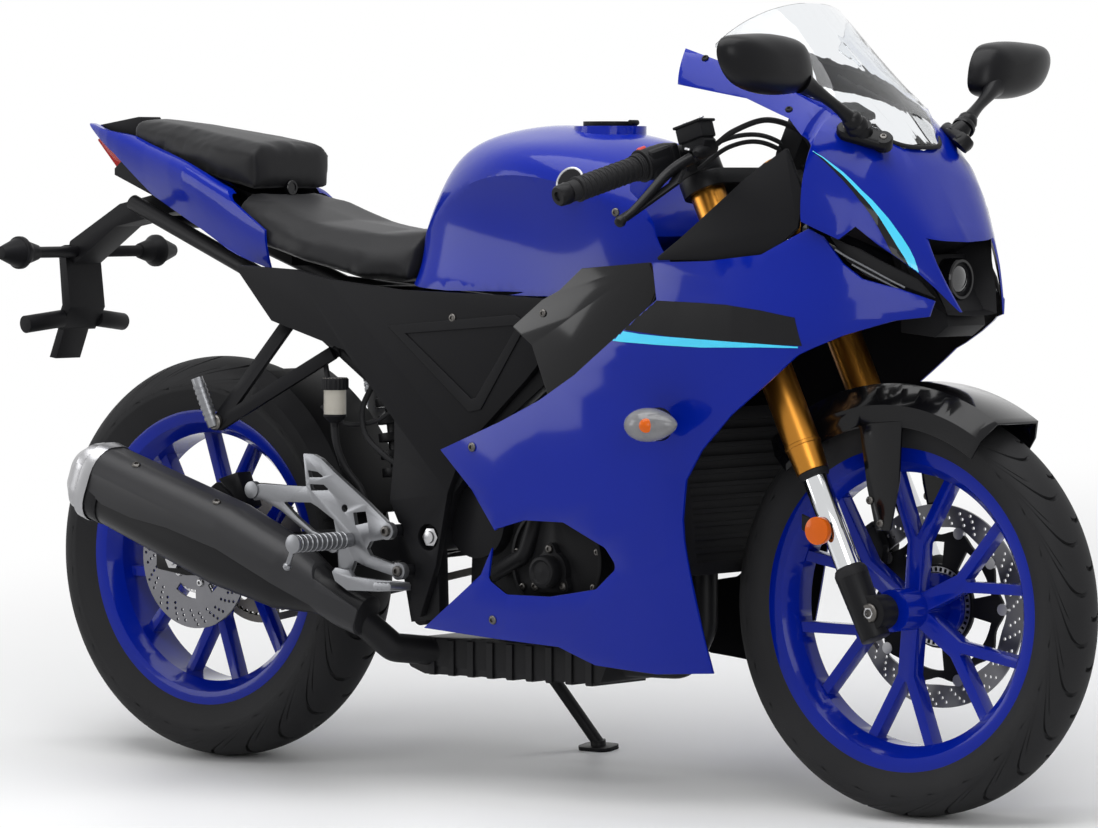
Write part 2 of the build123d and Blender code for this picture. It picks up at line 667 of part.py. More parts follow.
# ---- tank and seats ----
CAP_CENTRE = Vector(770, 0, 984)
CAP_RADIUS = 40.0
TANK_SECTIONS = [
    (472, [(0, 836), (32, 834), (58, 822), (72, 804), (80, 776), (96, 752)]),
    (500, [(0, 912), (50, 900), (78, 872), (92, 840), (98, 790), (116, 744)]),
    (560, [(0, 960), (72, 948), (100, 918), (114, 880), (108, 810), (126, 740)]),
    (640, [(0, 983), (80, 968), (124, 940), (140, 906), (118, 826), (130, 736)]),
    (760, [(0, 981), (86, 966), (142, 938), (158, 908), (134, 826), (136, 734)]),
    (870, [(0, 962), (86, 944), (138, 914), (156, 882), (148, 820), (152, 736)]),
    (960, [(0, 925), (80, 908), (122, 876), (138, 842), (142, 802), (150, 752)]),
    (1030, [(0, 880), (66, 866), (112, 842), (130, 814), (134, 790), (138, 770)]),
]
TUNNEL_HALF = 131.0
TANK_TUNNEL = [(440, 690), (440, 740), (800, 740), (900, 798), (1000, 850), (1120, 850), (1120, 690)]
FORK_SWEEP = 72.0
FORK_REACH = 138.0
with BuildPart() as fuel_tank:
    add(moulded(TANK_SECTIONS, 4))
    add(rod((CAP_CENTRE.X, 0, CAP_CENTRE.Z - 30), (CAP_CENTRE.X, 0, CAP_CENTRE.Z), CAP_RADIUS + 14))
    add(plate(TANK_TUNNEL, -TUNNEL_HALF, TUNNEL_HALF), mode=Mode.SUBTRACT)
    with BuildSketch(head_plane(300)):
        with Locations((140 - FORK_SWEEP, 0)):
            Rectangle(280, 2 * FORK_REACH)
    extrude(amount=520, mode=Mode.SUBTRACT)

with BuildPart() as fuel_cap:
    add(ring(CAP_CENTRE, Vector(0, 0, 1), CAP_RADIUS, 0, 0.3, 7))
    add(rod((CAP_CENTRE.X + CAP_RADIUS + 4, -9, CAP_CENTRE.Z + 5),
            (CAP_CENTRE.X + CAP_RADIUS + 4, 9, CAP_CENTRE.Z + 5), 4))
    with BuildSketch(Plane.XY.offset(CAP_CENTRE.Z + 3)):
        with Locations((CAP_CENTRE.X + CAP_RADIUS - 4, 0)):
            Rectangle(16, 16)
    extrude(amount=4)

# ---- tail ----
TAIL_SECTIONS = [
    (-270, [(16, 994), (30, 990), (26, 975), (14, 962)]),
    (-200, [(42, 990), (56, 982), (56, 945), (40, 905)]),
    (-100, [(62, 960), (76, 956), (80, 915), (62, 872)]),
    (10, [(92, 930), (106, 925), (108, 885), (90, 832)]),
    (120, [(98, 884), (116, 880), (122, 850), (108, 790)]),
    (200, [(98, 868), (128, 846), (131, 815), (118, 768)]),
]
TAIL_SIDE = [(-272, 996), (-200, 982), (10, 950), (60, 936), (122, 872), (300, 770), (290, 762),
             (155, 771), (38, 827), (-92, 881), (-180, 945)]
with BuildPart() as tail_cowls:
    add(panel(TAIL_SECTIONS))
    with BuildSketch(side_plane(0)):
        add(outline(TAIL_SIDE))
    extrude(amount=200, mode=Mode.INTERSECT)
    mirror(about=Plane.XZ)

SEAT_SECTIONS = [
    # x, centre top z, edge (out, z), side (out, z), foot (out, z)
    (118, 884, (76, 884), (98, 868), (112, 822)),
    (180, 868, (88, 868), (118, 848), (126, 806)),
    (270, 840, (96, 836), (132, 812), (136, 784)),
    (384, 826, (84, 820), (118, 796), (130, 758)),
    (464, 830, (60, 824), (88, 800), (108, 752)),
]
with BuildPart() as rider_seat:
    add(body([(x, [(0, top), edge, side, foot]) for x, top, edge, side, foot in SEAT_SECTIONS],
             ruled=True))
    add(tail_cowls.part, mode=Mode.SUBTRACT)
    add(fuel_tank.part, mode=Mode.SUBTRACT)

PILLION_SECTIONS = [
    (-150, 1000, (40, 998), (52, 985), (50, 962)),
    (-60, 990, (52, 988), (68, 972), (66, 930)),
    (60, 972, (70, 970), (92, 952), (88, 906)),
    (140, 960, (74, 956), (90, 940), (86, 890)),
]
with BuildPart() as pillion_seat:
    add(body([(x, [(0, top), edge, side, foot]) for x, top, edge, side, foot in PILLION_SECTIONS],
             ruled=True))
    add(tail_cowls.part, mode=Mode.SUBTRACT)

with BuildPart() as tail_light:
    add(plate([(-268, 972), (-256, 968), (-208, 944), (-206, 918), (-222, 924)], -14, 14, 2))

# ---- tail tray, plate bracket and indicators ----
LAMP_BAR = (-298, 789)
with BuildPart() as tail_tray:
    add(plate([(180, 772), (60, 822), (-110, 878), (-196, 912), (-196, 922), (-150, 958), (-150, 932),
               (-60, 905), (60, 868), (110, 850), (180, 800)], -46, 46))
    add(plate([(-258, 990), (-162, 1004), (-156, 990), (-156, 950), (-200, 955), (-250, 980)], -24, 24, 3))
    add(plate([(-60, 858), (-60, 880), (-110, 884), (-200, 866), (-310, 806), (-318, 780), (-300, 770),
               (-210, 830)], -30, 30, 4))
    add(plate([(-312, 800), (-300, 700), (-322, 664), (-334, 668), (-318, 704), (-326, 796)], -40, 40))
    for side in (-1, 1):
        add(rod((-320, side * 40, 682), (-330, side * 112, 674), 14))
    add(plate([(-318, 700), (-352, 617), (-366, 619), (-332, 702)], -36, 20))
    add(frame.part, mode=Mode.SUBTRACT)
    add(rider_seat.part, mode=Mode.SUBTRACT)
    add(pillion_seat.part, mode=Mode.SUBTRACT)
    add(tail_cowls.part, mode=Mode.SUBTRACT)
    add(tail_light.part, mode=Mode.SUBTRACT)

with BuildPart() as indicators:
    x, z = LAMP_BAR
    add(rod((x, -30, z), (x, -120, z), 9))
    add(rod((x, -118, z), (x, -160, z), 12, 24))
    add(rod((x, -160, z), (x, -199, z), 24, 10))
    add(rod((1041, -207, 558), (1041, -226, 558), 12))
    add(rod((1041, -226, 558), (1041, -246, 558), 24))
    add(rod((1041, -246, 558), (1041, -275, 558), 24, 10))
    mirror(about=Plane.XZ)

# ---- black side covers ----
SIDE_COVER = [(147, 774), (271, 768), (341, 754), (480, 740), (674, 735), (800, 729), (830, 712),
              (800, 686), (725, 611), (605, 505), (575, 440), (552, 330), (520, 250), (500, 262),
              (512, 330), (462, 424), (471, 500), (471, 545), (372, 648), (224, 690)]
COVER_INNER = 131.0
with BuildPart() as side_covers:
    add(plate(SIDE_COVER, COVER_INNER, COVER_INNER + 12, 4))
    with BuildSketch(side_plane(COVER_INNER)):
        with Locations((PIVOT.X, PIVOT.Z)):
            Circle(20)
        for spot in FOOT_BOLTS:
            with Locations(spot):
                Circle(12)
    extrude(amount=12, mode=Mode.SUBTRACT)
    mirror(about=Plane.XZ)


# ---- side fairings ----
FAIRING_LEVELS = (860, 785, 735, 690, 620, 530, 410, 290, 170)
FAIRING_WIDTHS = [
    # x, distance out from the centre plane at each level
    (500, (172, 175, 178, 181, 179, 174, 165, 149, 127)),
    (700, (178, 184, 189, 194, 194, 189, 182, 163, 134)),
    (900, (184, 188, 198, 206, 204, 200, 189, 166, 128)),
    (1060, (188, 193, 204, 211, 207, 199, 181, 148, 103)),
    (1200, (192, 197, 206, 209, 198, 186, 162, 128, 85)),
    (1320, (160, 168, 174, 175, 165, 153, 128, 93, 52)),
    (1450, (44, 49, 55, 55, 46, 38, 30, 20, 10)),
]
FAIRING_SIDE = [
    (998, 787), (1015, 734), (951, 683), (864, 623), (795, 585), (715, 551), (592, 506), (654, 449),
    (701, 384), (659, 323), (527, 236), (682, 227), (792, 222), (854, 198), (958, 190), (1050, 195),
    (1048, 289), (1047, 333), (1046, 391), (1048, 420), (1061, 478), (1092, 522), (1145, 573),
    (1214, 624), (1260, 660), (1322, 688), (1378, 709), (1412, 714), (1417, 736), (1381, 753),
    (1341, 767), (1317, 789), (1289, 826), (1268, 837), (1195, 800), (1100, 790),
]
CLUTCH_WINDOW = [(673, 317), (696, 392), (757, 408), (832, 408), (906, 374), (924, 346), (880, 312),
                 (792, 297), (707, 296)]
LAMP_SINK = 6.0
LAMP_SIDE = [(1415, 740), (1384, 756), (1344, 770), (1320, 792), (1294, 826), (1332, 809), (1396, 767),
             (1409, 747)]
with BuildPart() as side_fairings:
    add(panel([(x, list(zip(widths, FAIRING_LEVELS))) for x, widths in FAIRING_WIDTHS]))
    with BuildSketch(side_plane(0)):
        add(outline(FAIRING_SIDE))
        add(outline(CLUTCH_WINDOW, 12), mode=Mode.SUBTRACT)
    extrude(amount=260, mode=Mode.INTERSECT)
    mirror(about=Plane.XZ)

# ---- upper cowl, beak and windscreen ----
COWL_SECTIONS = [
    (1018, [(0, 1172), (90, 1150), (146, 1094), (164, 1066), (172, 1026)]),
    (1150, [(0, 1112), (80, 1098), (138, 1056), (164, 1022), (182, 960)]),
    (1222, [(0, 1052), (76, 1044), (126, 1022), (162, 994), (186, 950), (198, 850)]),
    (1265, [(0, 1016), (70, 1010), (114, 998), (150, 976), (184, 926), (196, 838)]),
    (1334, [(0, 951), (66, 946), (118, 927), (146, 888), (160, 840), (163, 804)]),
    (1398, [(0, 843), (48, 839), (84, 826), (96, 802), (99, 775), (98, 748)]),
    (1442, [(0, 768), (24, 764), (42, 752), (49, 736), (50, 714)]),
]
COWL_SIDE = [(1018, 1140), (1029, 1041), (1148, 1020), (1222, 991), (1250, 967), (1264, 952),
             (1266, 847), (1333, 813), (1397, 771), (1410, 733), (1416, 720), (1439, 720),
             (1399, 824), (1416, 816), (1416, 1140)]
SCREEN_OPENING = [(1337, -10), (1337, 0), (1331, 44), (1265, 107), (1200, 128), (1079, 144), (1000, 146),
                  (1000, -10)]
SCREEN_THICKNESS = 3.0
with BuildPart() as windscreen:
    add(canopy([
        (1334, [(0, 956), (18, 955), (34, 953), (46, 951)]),
        (1265, [(0, 1030), (45, 1026), (86, 1016), (112, 1007)]),
        (1200, [(0, 1098), (58, 1090), (105, 1066), (133, 1034)]),
        (1079, [(0, 1224), (75, 1206), (125, 1162), (150, 1094)]),
    ], SCREEN_THICKNESS))
    with BuildSketch(side_plane(0)):
        add(outline([(1079, 930), (1080, 1098), (1141, 1158), (1360, 1160), (1360, 930)]))
    extrude(amount=200, mode=Mode.INTERSECT)
    mirror(about=Plane.XZ)

with BuildPart() as upper_cowl:
    add(canopy(COWL_SECTIONS))
    with BuildSketch(side_plane(0)):
        add(outline(COWL_SIDE))
    extrude(amount=260, mode=Mode.INTERSECT)
    with BuildSketch(Plane.XY.offset(900)):
        add(outline([(x, -out) for x, out in SCREEN_OPENING]))
    extrude(amount=300, mode=Mode.SUBTRACT)
    add(windscreen.part, mode=Mode.SUBTRACT)
    mirror(about=Plane.XZ)

with BuildPart() as headlights:
    add(plate([(1331, 800), (1376, 800), (1384, 766), (1408, 724), (1412, 700), (1390, 684), (1331, 690)],
              -46, 46))
    add(rod((1376, 0, 765), (1400, 0, 765), 26))
    mirror(about=Plane.XZ)

with BuildPart() as lamp_surrounds:
    add(panel([(x, [(out - LAMP_SINK, z) for out, z in zip(widths, FAIRING_LEVELS)])
               for x, widths in FAIRING_WIDTHS[-3:]]))
    with BuildSketch(side_plane(0)):
        add(outline(LAMP_SIDE))
    extrude(amount=260, mode=Mode.INTERSECT)
    mirror(about=Plane.XZ)

# ---- mirrors, instruments, inner panels ----
# the shell of a mirror seen from behind: its glass edge, and how it closes towards the front
MIRROR_EDGE = [(-214, 1030), (-205, 1066), (-225, 1098), (-274, 1106), (-385, 1099), (-394, 1070),
               (-360, 1036), (-290, 1022)]
MIRROR_MIDDLE = (-300, 1064)
with BuildPart() as mirrors:
    for x, share in ((1270, 0.98), (1276, 1.0), (1292, 0.94), (1306, 0.76), (1313, 0.48)):
        middle, height = MIRROR_MIDDLE
        with BuildSketch(Plane.YZ.offset(x)):
            add(outline([(middle + (y - middle) * share, height + (z - height) * share)
                         for y, z in MIRROR_EDGE], 9 * share))
    loft(ruled=True)
    add(rod((1317, -118, 972), (1312, -143, 991), 17))
    add(rod((1312, -143, 991), (1290, -235, 1050), 9))
    mirror(about=Plane.XZ)

with BuildPart() as cockpit:
    with BuildSketch(Plane(origin=(1150, 0, 975), x_dir=(0, 1, 0), z_dir=(-0.9, 0, 0.42))):
        RectangleRounded(160, 92, 14)
    extrude(amount=-34)
    add(beam([(1176, 0, 968, 60, 30), (1290, 0, 880, 60, 30), (1329.5, 0, 770, 60, 30)]))
    split(bisect_by=Plane.YZ.offset(1330), keep=Keep.BOTTOM)
    add(plate([(1231, 950), (1262, 884), (1251, 838), (1193, 792), (995, 790), (1043, 822), (1160, 908)],
              178, 184, 3))
    mirror(about=Plane.XZ)

AIR_PANEL = [(984, 787), (1000, 754), (960, 672), (870, 600), (812, 555), (767, 664), (730, 690),
             (786, 730), (819, 745), (860, 777)]
with BuildPart() as air_panels:
    add(plate(AIR_PANEL, 174, 180, 3))
    mirror(about=Plane.XZ)

# ---- foot controls ----
# a cast bracket with a heel guard, an arm to the silencer and a fork to the lower bolt
BRACKET = [(200, 422), (214, 441), (315, 441), (309, 491), (329, 490), (345, 484), (375, 462), (439, 420),
           (479, 391), (489, 381), (484, 370), (443, 363), (436, 352), (443, 342), (488, 331),
           (510, 328), (512, 315), (498, 311), (434, 325), (412, 333), (405, 318), (400, 305),
           (386, 305), (380, 316), (378, 346), (360, 346),
           (328, 364), (296, 383), (263, 403), (225, 418), (210, 416)]
BRACKET_HOLES = [
    [(268, 416), (324, 417), (338, 411), (370, 393), (375, 373), (356, 367), (328, 374), (296, 394)],
    [(318, 466), (338, 464), (352, 456), (321, 455)],
    [(322, 445), (350, 445), (362, 437), (325, 435)],
    [(409, 405), (434, 408), (438, 391), (413, 386)],
]
with BuildPart() as footrest_brackets:
    with BuildSketch(side_plane(FOOT_OUT)):
        add(outline(BRACKET, 2))
        for hole in BRACKET_HOLES:
            add(outline(hole, 1.5), mode=Mode.SUBTRACT)
        with Locations((392, 411)):
            Circle(6, mode=Mode.SUBTRACT)
    extrude(amount=8)
    with BuildSketch(side_plane(FOOT_OUT)):
        for spot in (*FOOT_BOLTS, (205, 432), (370, 356)):
            with Locations(spot):
                Circle(13)
    extrude(amount=11)
    mirror(about=Plane.XZ)

PEDAL = [(388, 316), (395, 323), (421, 320), (428, 311), (476, 308), (534, 307), (537, 295), (480, 291),
         (418, 290), (394, 303)]
PEDAL_OUT = FOOT_OUT + 28
with BuildPart() as pedals:
    for side in (-1, 1):
        add(plate(PEDAL, side * PEDAL_OUT - 4.5, side * PEDAL_OUT + 4.5, 2))
        add(rod((396, -side * (FOOT_OUT + 8), 314), (396, -side * PEDAL_OUT, 314), 7))
        for x in (511, 519, 527, 535):
            add(rod((x, -side * PEDAL_OUT, 301), (x, -side * (PEDAL_OUT + 46), 303), 5.5))

with BuildPart() as passenger_brackets:
    add(beam([(236, PEG_BRACKET_OUT, 690, 8, 22), (148, 182, 532, 8, 22)]))
    add(beam([(322, PEG_BRACKET_OUT, 642, 8, 20), (150, 182, 530, 8, 20)]))
    mirror(about=Plane.XZ)
    add(frame.part, mode=Mode.SUBTRACT)

with BuildPart() as footpegs:
    add(rod((402, -FOOT_OUT - 9, 364), (402, -290, 364), 11))
    add(rod((398, -284, 366), (382, -284, 330), 4))
    add(rod((146, -188, 528), (122, -200, 602), 9))
    mirror(about=Plane.XZ)
    add(passenger_brackets.part, mode=Mode.SUBTRACT)
    add(pedals.part, mode=Mode.SUBTRACT)

with BuildPart() as brake_reservoir:
    add(rod((359, -150, 548), (359, -150, 588), 17))
    add(rod((359, -150, 588), (359, -150, 606), 19))
    add(rod((350, -118, 600), (357, -140, 600), 5))

# ---- steering head, fork and controls ----
TUBE_RADIUS = 26.0
STANCHION_RADIUS = 18.5
TUBE_FOOT = 223.0
TUBE_TOP = 712.0
with BuildPart() as triple_clamps:
    for low, depth in ((HEAD_LOW - 38, 32), (HEAD_HIGH + 6, 24)):
        with BuildSketch(head_plane(low)):
            for side in (-1, 1):
                with Locations((FORK_OFFSET, side * FORK_SPREAD)):
                    Circle(TUBE_RADIUS + 9)
            with Locations((-4, 0)):
                Circle(28)
            make_hull()
            for side in (-1, 1):
                with Locations((FORK_OFFSET, side * FORK_SPREAD)):
                    Circle(TUBE_RADIUS, mode=Mode.SUBTRACT)
        extrude(amount=depth)
    with BuildSketch(head_plane(HEAD_LOW - 20)):
        Circle(STEM_RADIUS)
    extrude(amount=HEAD_HIGH - HEAD_LOW + 60)

with BuildPart() as fork_tubes:
    for side in (-1, 1):
        add(rod(head_point(TUBE_FOOT, FORK_OFFSET, side * FORK_SPREAD),
                head_point(TUBE_FOOT + 40, FORK_OFFSET, side * FORK_SPREAD), 23, TUBE_RADIUS))
        add(rod(head_point(TUBE_FOOT + 40, FORK_OFFSET, side * FORK_SPREAD),
                head_point(TUBE_TOP, FORK_OFFSET, side * FORK_SPREAD), TUBE_RADIUS))

with BuildPart() as fork_stanchions:
    for side in (-1, 1):
        add(rod(head_point(62, FORK_OFFSET, side * FORK_SPREAD),
                head_point(TUBE_FOOT, FORK_OFFSET, side * FORK_SPREAD), STANCHION_RADIUS))

with BuildPart() as fork_legs:
    for side in (-1, 1):
        add(rod(head_point(-34, FORK_OFFSET, side * FORK_SPREAD),
                head_point(62, FORK_OFFSET, side * FORK_SPREAD), 21, 24))
        add(ring(FRONT_AXLE, Vector(0, -side, 0), 25, 0, FORK_SPREAD - 22, FORK_SPREAD + 14))
    add(rod(FRONT_AXLE + Vector(0, 130, 0), FRONT_AXLE - Vector(0, 130, 0), AXLE_RADIUS),
        mode=Mode.SUBTRACT)

AXLE_BORE = 5.5
with BuildPart() as front_axle:
    add(rod(FRONT_AXLE + Vector(0, FORK_SPREAD + 18, 0), FRONT_AXLE - Vector(0, FORK_SPREAD + 18, 0),
            AXLE_RADIUS))
    add(rod(FRONT_AXLE + Vector(0, 130, 0), FRONT_AXLE - Vector(0, 130, 0), AXLE_BORE),
        mode=Mode.SUBTRACT)

BAR_INNER = Vector(1022, -150, 946)
BAR_END = Vector(973, -350, 887)
BAR_RADIUS = 11.0
bar_run = BAR_END - BAR_INNER
with BuildPart() as handlebars:
    add(rod(head_point(HEAD_HIGH + 31, FORK_OFFSET, FORK_SPREAD),
            head_point(HEAD_HIGH + 53, FORK_OFFSET, FORK_SPREAD), TUBE_RADIUS + 8))
    add(rod(head_point(HEAD_HIGH + 42, FORK_OFFSET + 8, FORK_SPREAD + 20), BAR_INNER, 13))
    add(rod(BAR_INNER, BAR_END - bar_run * 0.02, BAR_RADIUS))
    add(rod(head_point(HEAD_HIGH + 20, FORK_OFFSET, FORK_SPREAD),
            head_point(HEAD_HIGH + 70, FORK_OFFSET, FORK_SPREAD), TUBE_RADIUS), mode=Mode.SUBTRACT)
    mirror(about=Plane.XZ)

with BuildPart() as grips:
    add(rod(BAR_INNER + bar_run * 0.36, BAR_INNER + bar_run * 0.93, 17))
    add(rod(BAR_INNER + bar_run * 0.93, BAR_END, 15))
    add(rod(BAR_INNER, BAR_END, BAR_RADIUS), mode=Mode.SUBTRACT)
    add(rod(BAR_INNER + bar_run * 0.98, BAR_END, 15))
    mirror(about=Plane.XZ)

with BuildPart() as hand_controls:
    add(rod(BAR_INNER + bar_run * 0.17, BAR_INNER + bar_run * 0.35, 22))
    add(beam([(1052, 176, 940, 12, 16), (1080, 244, 900, 10, 16), (1054, 330, 850, 10, 14)]))
    add(plate([(1048, 944), (1044, 964), (1074, 974), (1088, 962), (1084, 944)], 158, 184, 3))
    mirror(about=Plane.XZ)
    add(handlebars.part, mode=Mode.SUBTRACT)
    add(grips.part, mode=Mode.SUBTRACT)

with BuildPart() as front_fender:
    with BuildSketch(spoke_plane(FRONT_AXLE, 133)):
        with BuildLine():
            Polyline((66, 262), (66, 290), (48, 318), (-48, 318), (-66, 290), (-66, 262), (-69, 262),
                     (-69, 292), (-50, 322), (50, 322), (69, 292), (69, 262), close=True)
        make_face()
    revolve(axis=Axis(FRONT_AXLE, (0, 1, 0)), revolution_arc=76)
    for side in (-1, 1):
        add(plate([(1276, 560), (1350, 566), (1345, 480), (1330, 410), (1305, 410), (1290, 470)],
                  side * 68 - 2, side * 68 + 2, 4))

with BuildPart() as front_caliper:
    for out in (FRONT_DISC_OUT - 20, FRONT_DISC_OUT + 4):
        add(plate([(1182, 330), (1190, 390), (1222, 408), (1240, 380), (1232, 330), (1205, 318)],
                  out, out + 16, 5))
    add(plate([(1176, 330), (1184, 392), (1220, 414), (1222, 408), (1190, 390), (1182, 330)],
              FRONT_DISC_OUT - 20, FRONT_DISC_OUT + 20))

with BuildPart() as fork_reflectors:
    add(rod((1248, -124, 410), (1248, -134, 410), 20))
    mirror(about=Plane.XZ)

# ---- side stand ----
with BuildPart() as side_stand:
    add(rod(STAND_PIVOT + STAND_DEPLOYED.normalized() * 13, STAND_FOOT + GROUND_UP * (FOOT_THICKNESS + 4),
            STAND_RADIUS))
    with BuildSketch(Plane(origin=STAND_FOOT, x_dir=(1, 0, 0), z_dir=GROUND_UP)):
        RectangleRounded(62, 40, 14)
    extrude(amount=FOOT_THICKNESS)
    add(ring(STAND_PIVOT, STAND_AXIS, 16, STAND_PIN + RUNNING_CLEARANCE, -STAND_EYE, STAND_EYE))
    add(rod(STAND_FOOT + GROUND_UP * 3, STAND_FOOT + GROUND_UP * 14, 12))

# ---- parking: lean onto the stand, origin under the middle ----
PIECES = {
    "frame": frame, "engine": engine, "radiator": radiator, "exhaust": exhaust,
    "silencer_shield": silencer_shield, "silencer_cap": silencer_cap, "swingarm": swingarm,
    "axles": axles, "shock": shock, "chain": chain, "rear_caliper": rear_caliper,
    "rear_mudguard": rear_mudguard, "fuel_tank": fuel_tank, "fuel_cap": fuel_cap,
    "rider_seat": rider_seat, "pillion_seat": pillion_seat, "tail_cowls": tail_cowls,
    "tail_light": tail_light, "tail_tray": tail_tray, "indicators": indicators,
    "side_covers": side_covers, "side_fairings": side_fairings, "upper_cowl": upper_cowl,
    "windscreen": windscreen, "headlights": headlights, "lamp_surrounds": lamp_surrounds, "mirrors": mirrors, "cockpit": cockpit,
    "air_panels": air_panels, "footrest_brackets": footrest_brackets, "footpegs": footpegs,
    "pedals": pedals, "passenger_brackets": passenger_brackets, "brake_reservoir": brake_reservoir,
    "triple_clamps": triple_clamps, "fork_tubes": fork_tubes, "fork_stanchions": fork_stanchions,
    "fork_legs": fork_legs, "front_axle": front_axle, "handlebars": handlebars, "grips": grips,
    "hand_controls": hand_controls, "front_fender": front_fender, "front_caliper": front_caliper,
    "fork_reflectors": fork_reflectors, "front_rim": front_rim, "front_tyre": front_tyre,
    "front_disc": front_disc, "rear_rim": rear_rim, "rear_tyre": rear_tyre, "rear_disc": rear_disc,
    "rear_sprocket": rear_sprocket, "side_stand": side_stand,
}
LEANED = Location((0, 0, PARKED_LIFT), (-PARKED_LEAN, 0, 0))
leaned = Compound([piece.part.moved(LEANED) for piece in PIECES.values()])
box = leaned.bounding_box()
MIDDLE = Vector((box.min.X + box.max.X) / 2, (box.min.Y + box.max.Y) / 2, 0)
PARKED = Location(-MIDDLE) * LEANED

os.makedirs("parts", exist_ok=True)
for name, piece in PIECES.items():
    placed = piece.part.moved(PARKED)
    placed.label = name
    export_step(placed, f"parts/{name}.step", write_pcurves=False)
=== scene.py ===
"""Dresses a sport motorcycle that leans on its side stand: paint, rubber, seats and small fittings.

Pieces are drawn upright in millimetres: x forward from the rear axle, "out" to the right of the
centre plane and z up from the ground. PARKED turns that into the leaning machine in metres.
"""
import json
import math

import bmesh
import bpy
from bpy.props import FloatProperty, FloatVectorProperty, IntProperty, PointerProperty
from mathutils import Matrix, Vector
from mathutils.bvhtree import BVHTree


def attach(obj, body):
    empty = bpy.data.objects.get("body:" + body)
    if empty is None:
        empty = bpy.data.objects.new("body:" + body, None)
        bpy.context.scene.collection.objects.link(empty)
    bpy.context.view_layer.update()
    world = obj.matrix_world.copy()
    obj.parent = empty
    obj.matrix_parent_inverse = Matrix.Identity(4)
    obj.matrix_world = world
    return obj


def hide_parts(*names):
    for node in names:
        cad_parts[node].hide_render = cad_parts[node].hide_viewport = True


bl_info = {
    "name": "Sport motorcycle dresser",
    "version": (1, 0, 0),
    "blender": (4, 5, 0),
    "location": "3D View > Sidebar > Motorcycle",
    "description": "Paint, tyres, seats and fittings for a parked sport motorcycle",
    "category": "Object",
}

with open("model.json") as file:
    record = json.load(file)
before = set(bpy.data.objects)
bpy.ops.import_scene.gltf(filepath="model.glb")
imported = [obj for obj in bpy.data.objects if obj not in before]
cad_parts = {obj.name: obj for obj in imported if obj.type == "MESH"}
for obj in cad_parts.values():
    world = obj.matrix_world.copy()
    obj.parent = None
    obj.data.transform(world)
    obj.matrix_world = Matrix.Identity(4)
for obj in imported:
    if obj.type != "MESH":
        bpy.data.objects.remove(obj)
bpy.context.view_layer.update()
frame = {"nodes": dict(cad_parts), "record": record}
JOINTS = {joint["name"]: joint for joint in frame["record"]["behaviour"]["joints"]}

MM = 0.001
REAR_RADIUS = 314.0
FRONT_RADIUS = 296.0
WHEELBASE = 1325.0
REAR_SPIN = JOINTS["rear_wheel_spin"]
LEAN = math.atan2(-REAR_SPIN["axis"][2], REAR_SPIN["axis"][1])
PARKED = (Matrix.Translation(REAR_SPIN["pos_m"]) @ Matrix.Rotation(-LEAN, 4, "X")
          @ Matrix.Scale(MM, 4) @ Matrix.Translation((0, 0, -REAR_RADIUS)))
UPRIGHT = PARKED.inverted()
OUTWARD = Vector((0, -1, 0))
FORWARD = Vector((1, 0, 0))
UP = Vector((0, 0, 1))
REAR_AXLE = Vector((0, 0, REAR_RADIUS))
FRONT_AXLE = Vector((WHEELBASE, 0, FRONT_RADIUS))
FORK_RAKE = math.radians(25.5)
FORK_WAY = Vector((-math.sin(FORK_RAKE), 0, math.cos(FORK_RAKE)))
FORK_FORWARD = Vector((FORK_WAY.z, 0, -FORK_WAY.x))
FORK_OUT = 98.0
BAR_INNER = Vector((1022, -150, 946))
BAR_END = Vector((973, -350, 887))
PIPE_FRONT = Vector((470, -158, 238))
PIPE_REAR = Vector((-83, -203, 440))
PIPE_WAY = (PIPE_REAR - PIPE_FRONT).normalized()
PIPE_LENGTH = (PIPE_REAR - PIPE_FRONT).length


# ---- sizes and colours a user would change ----
class BikeSizes(bpy.types.PropertyGroup):
    """Sizes of the fittings"""
    tread_depth: FloatProperty(
        name="Tread depth", description="Depth of the tyre grooves",
        default=0.005, min=0.0, max=0.008, unit="LENGTH")
    tread_pitches: IntProperty(
        name="Tread pitches", description="How many times the groove pattern repeats round a tyre",
        default=26, min=8, max=60)
    seat_voxel: FloatProperty(
        name="Seat mesh size", description="Voxel size that the seat covers are remeshed at",
        default=0.005, min=0.003, max=0.01, unit="LENGTH")
    seat_pressure: FloatProperty(
        name="Seat pressure", description="How hard the foam pushes the seat covers out",
        default=1.6, min=0.0, max=10.0)
    seat_swell: FloatProperty(
        name="Seat swell", description="The furthest that a seat cover may move from its foam",
        default=0.003, min=0.0, max=0.02, unit="LENGTH")
    decal_lift: FloatProperty(
        name="Decal thickness", description="How far the decals stand off the paint",
        default=0.0004, min=0.0001, max=0.002, unit="LENGTH")
    edge_round: FloatProperty(
        name="Edge rounding", description="Rounding of the edges of panels and castings",
        default=0.0008, min=0.0, max=0.003, unit="LENGTH")
    lens_length: FloatProperty(
        name="Camera lens", description="Focal length of the camera on a 36 mm sensor, in millimetres",
        default=181.72, min=20.0, max=400.0, subtype="DISTANCE_CAMERA")
    lamp_power: FloatProperty(
        name="Lamp power", description="Radiant power of the large overhead lamp",
        default=150.0, min=0.0, unit="POWER")


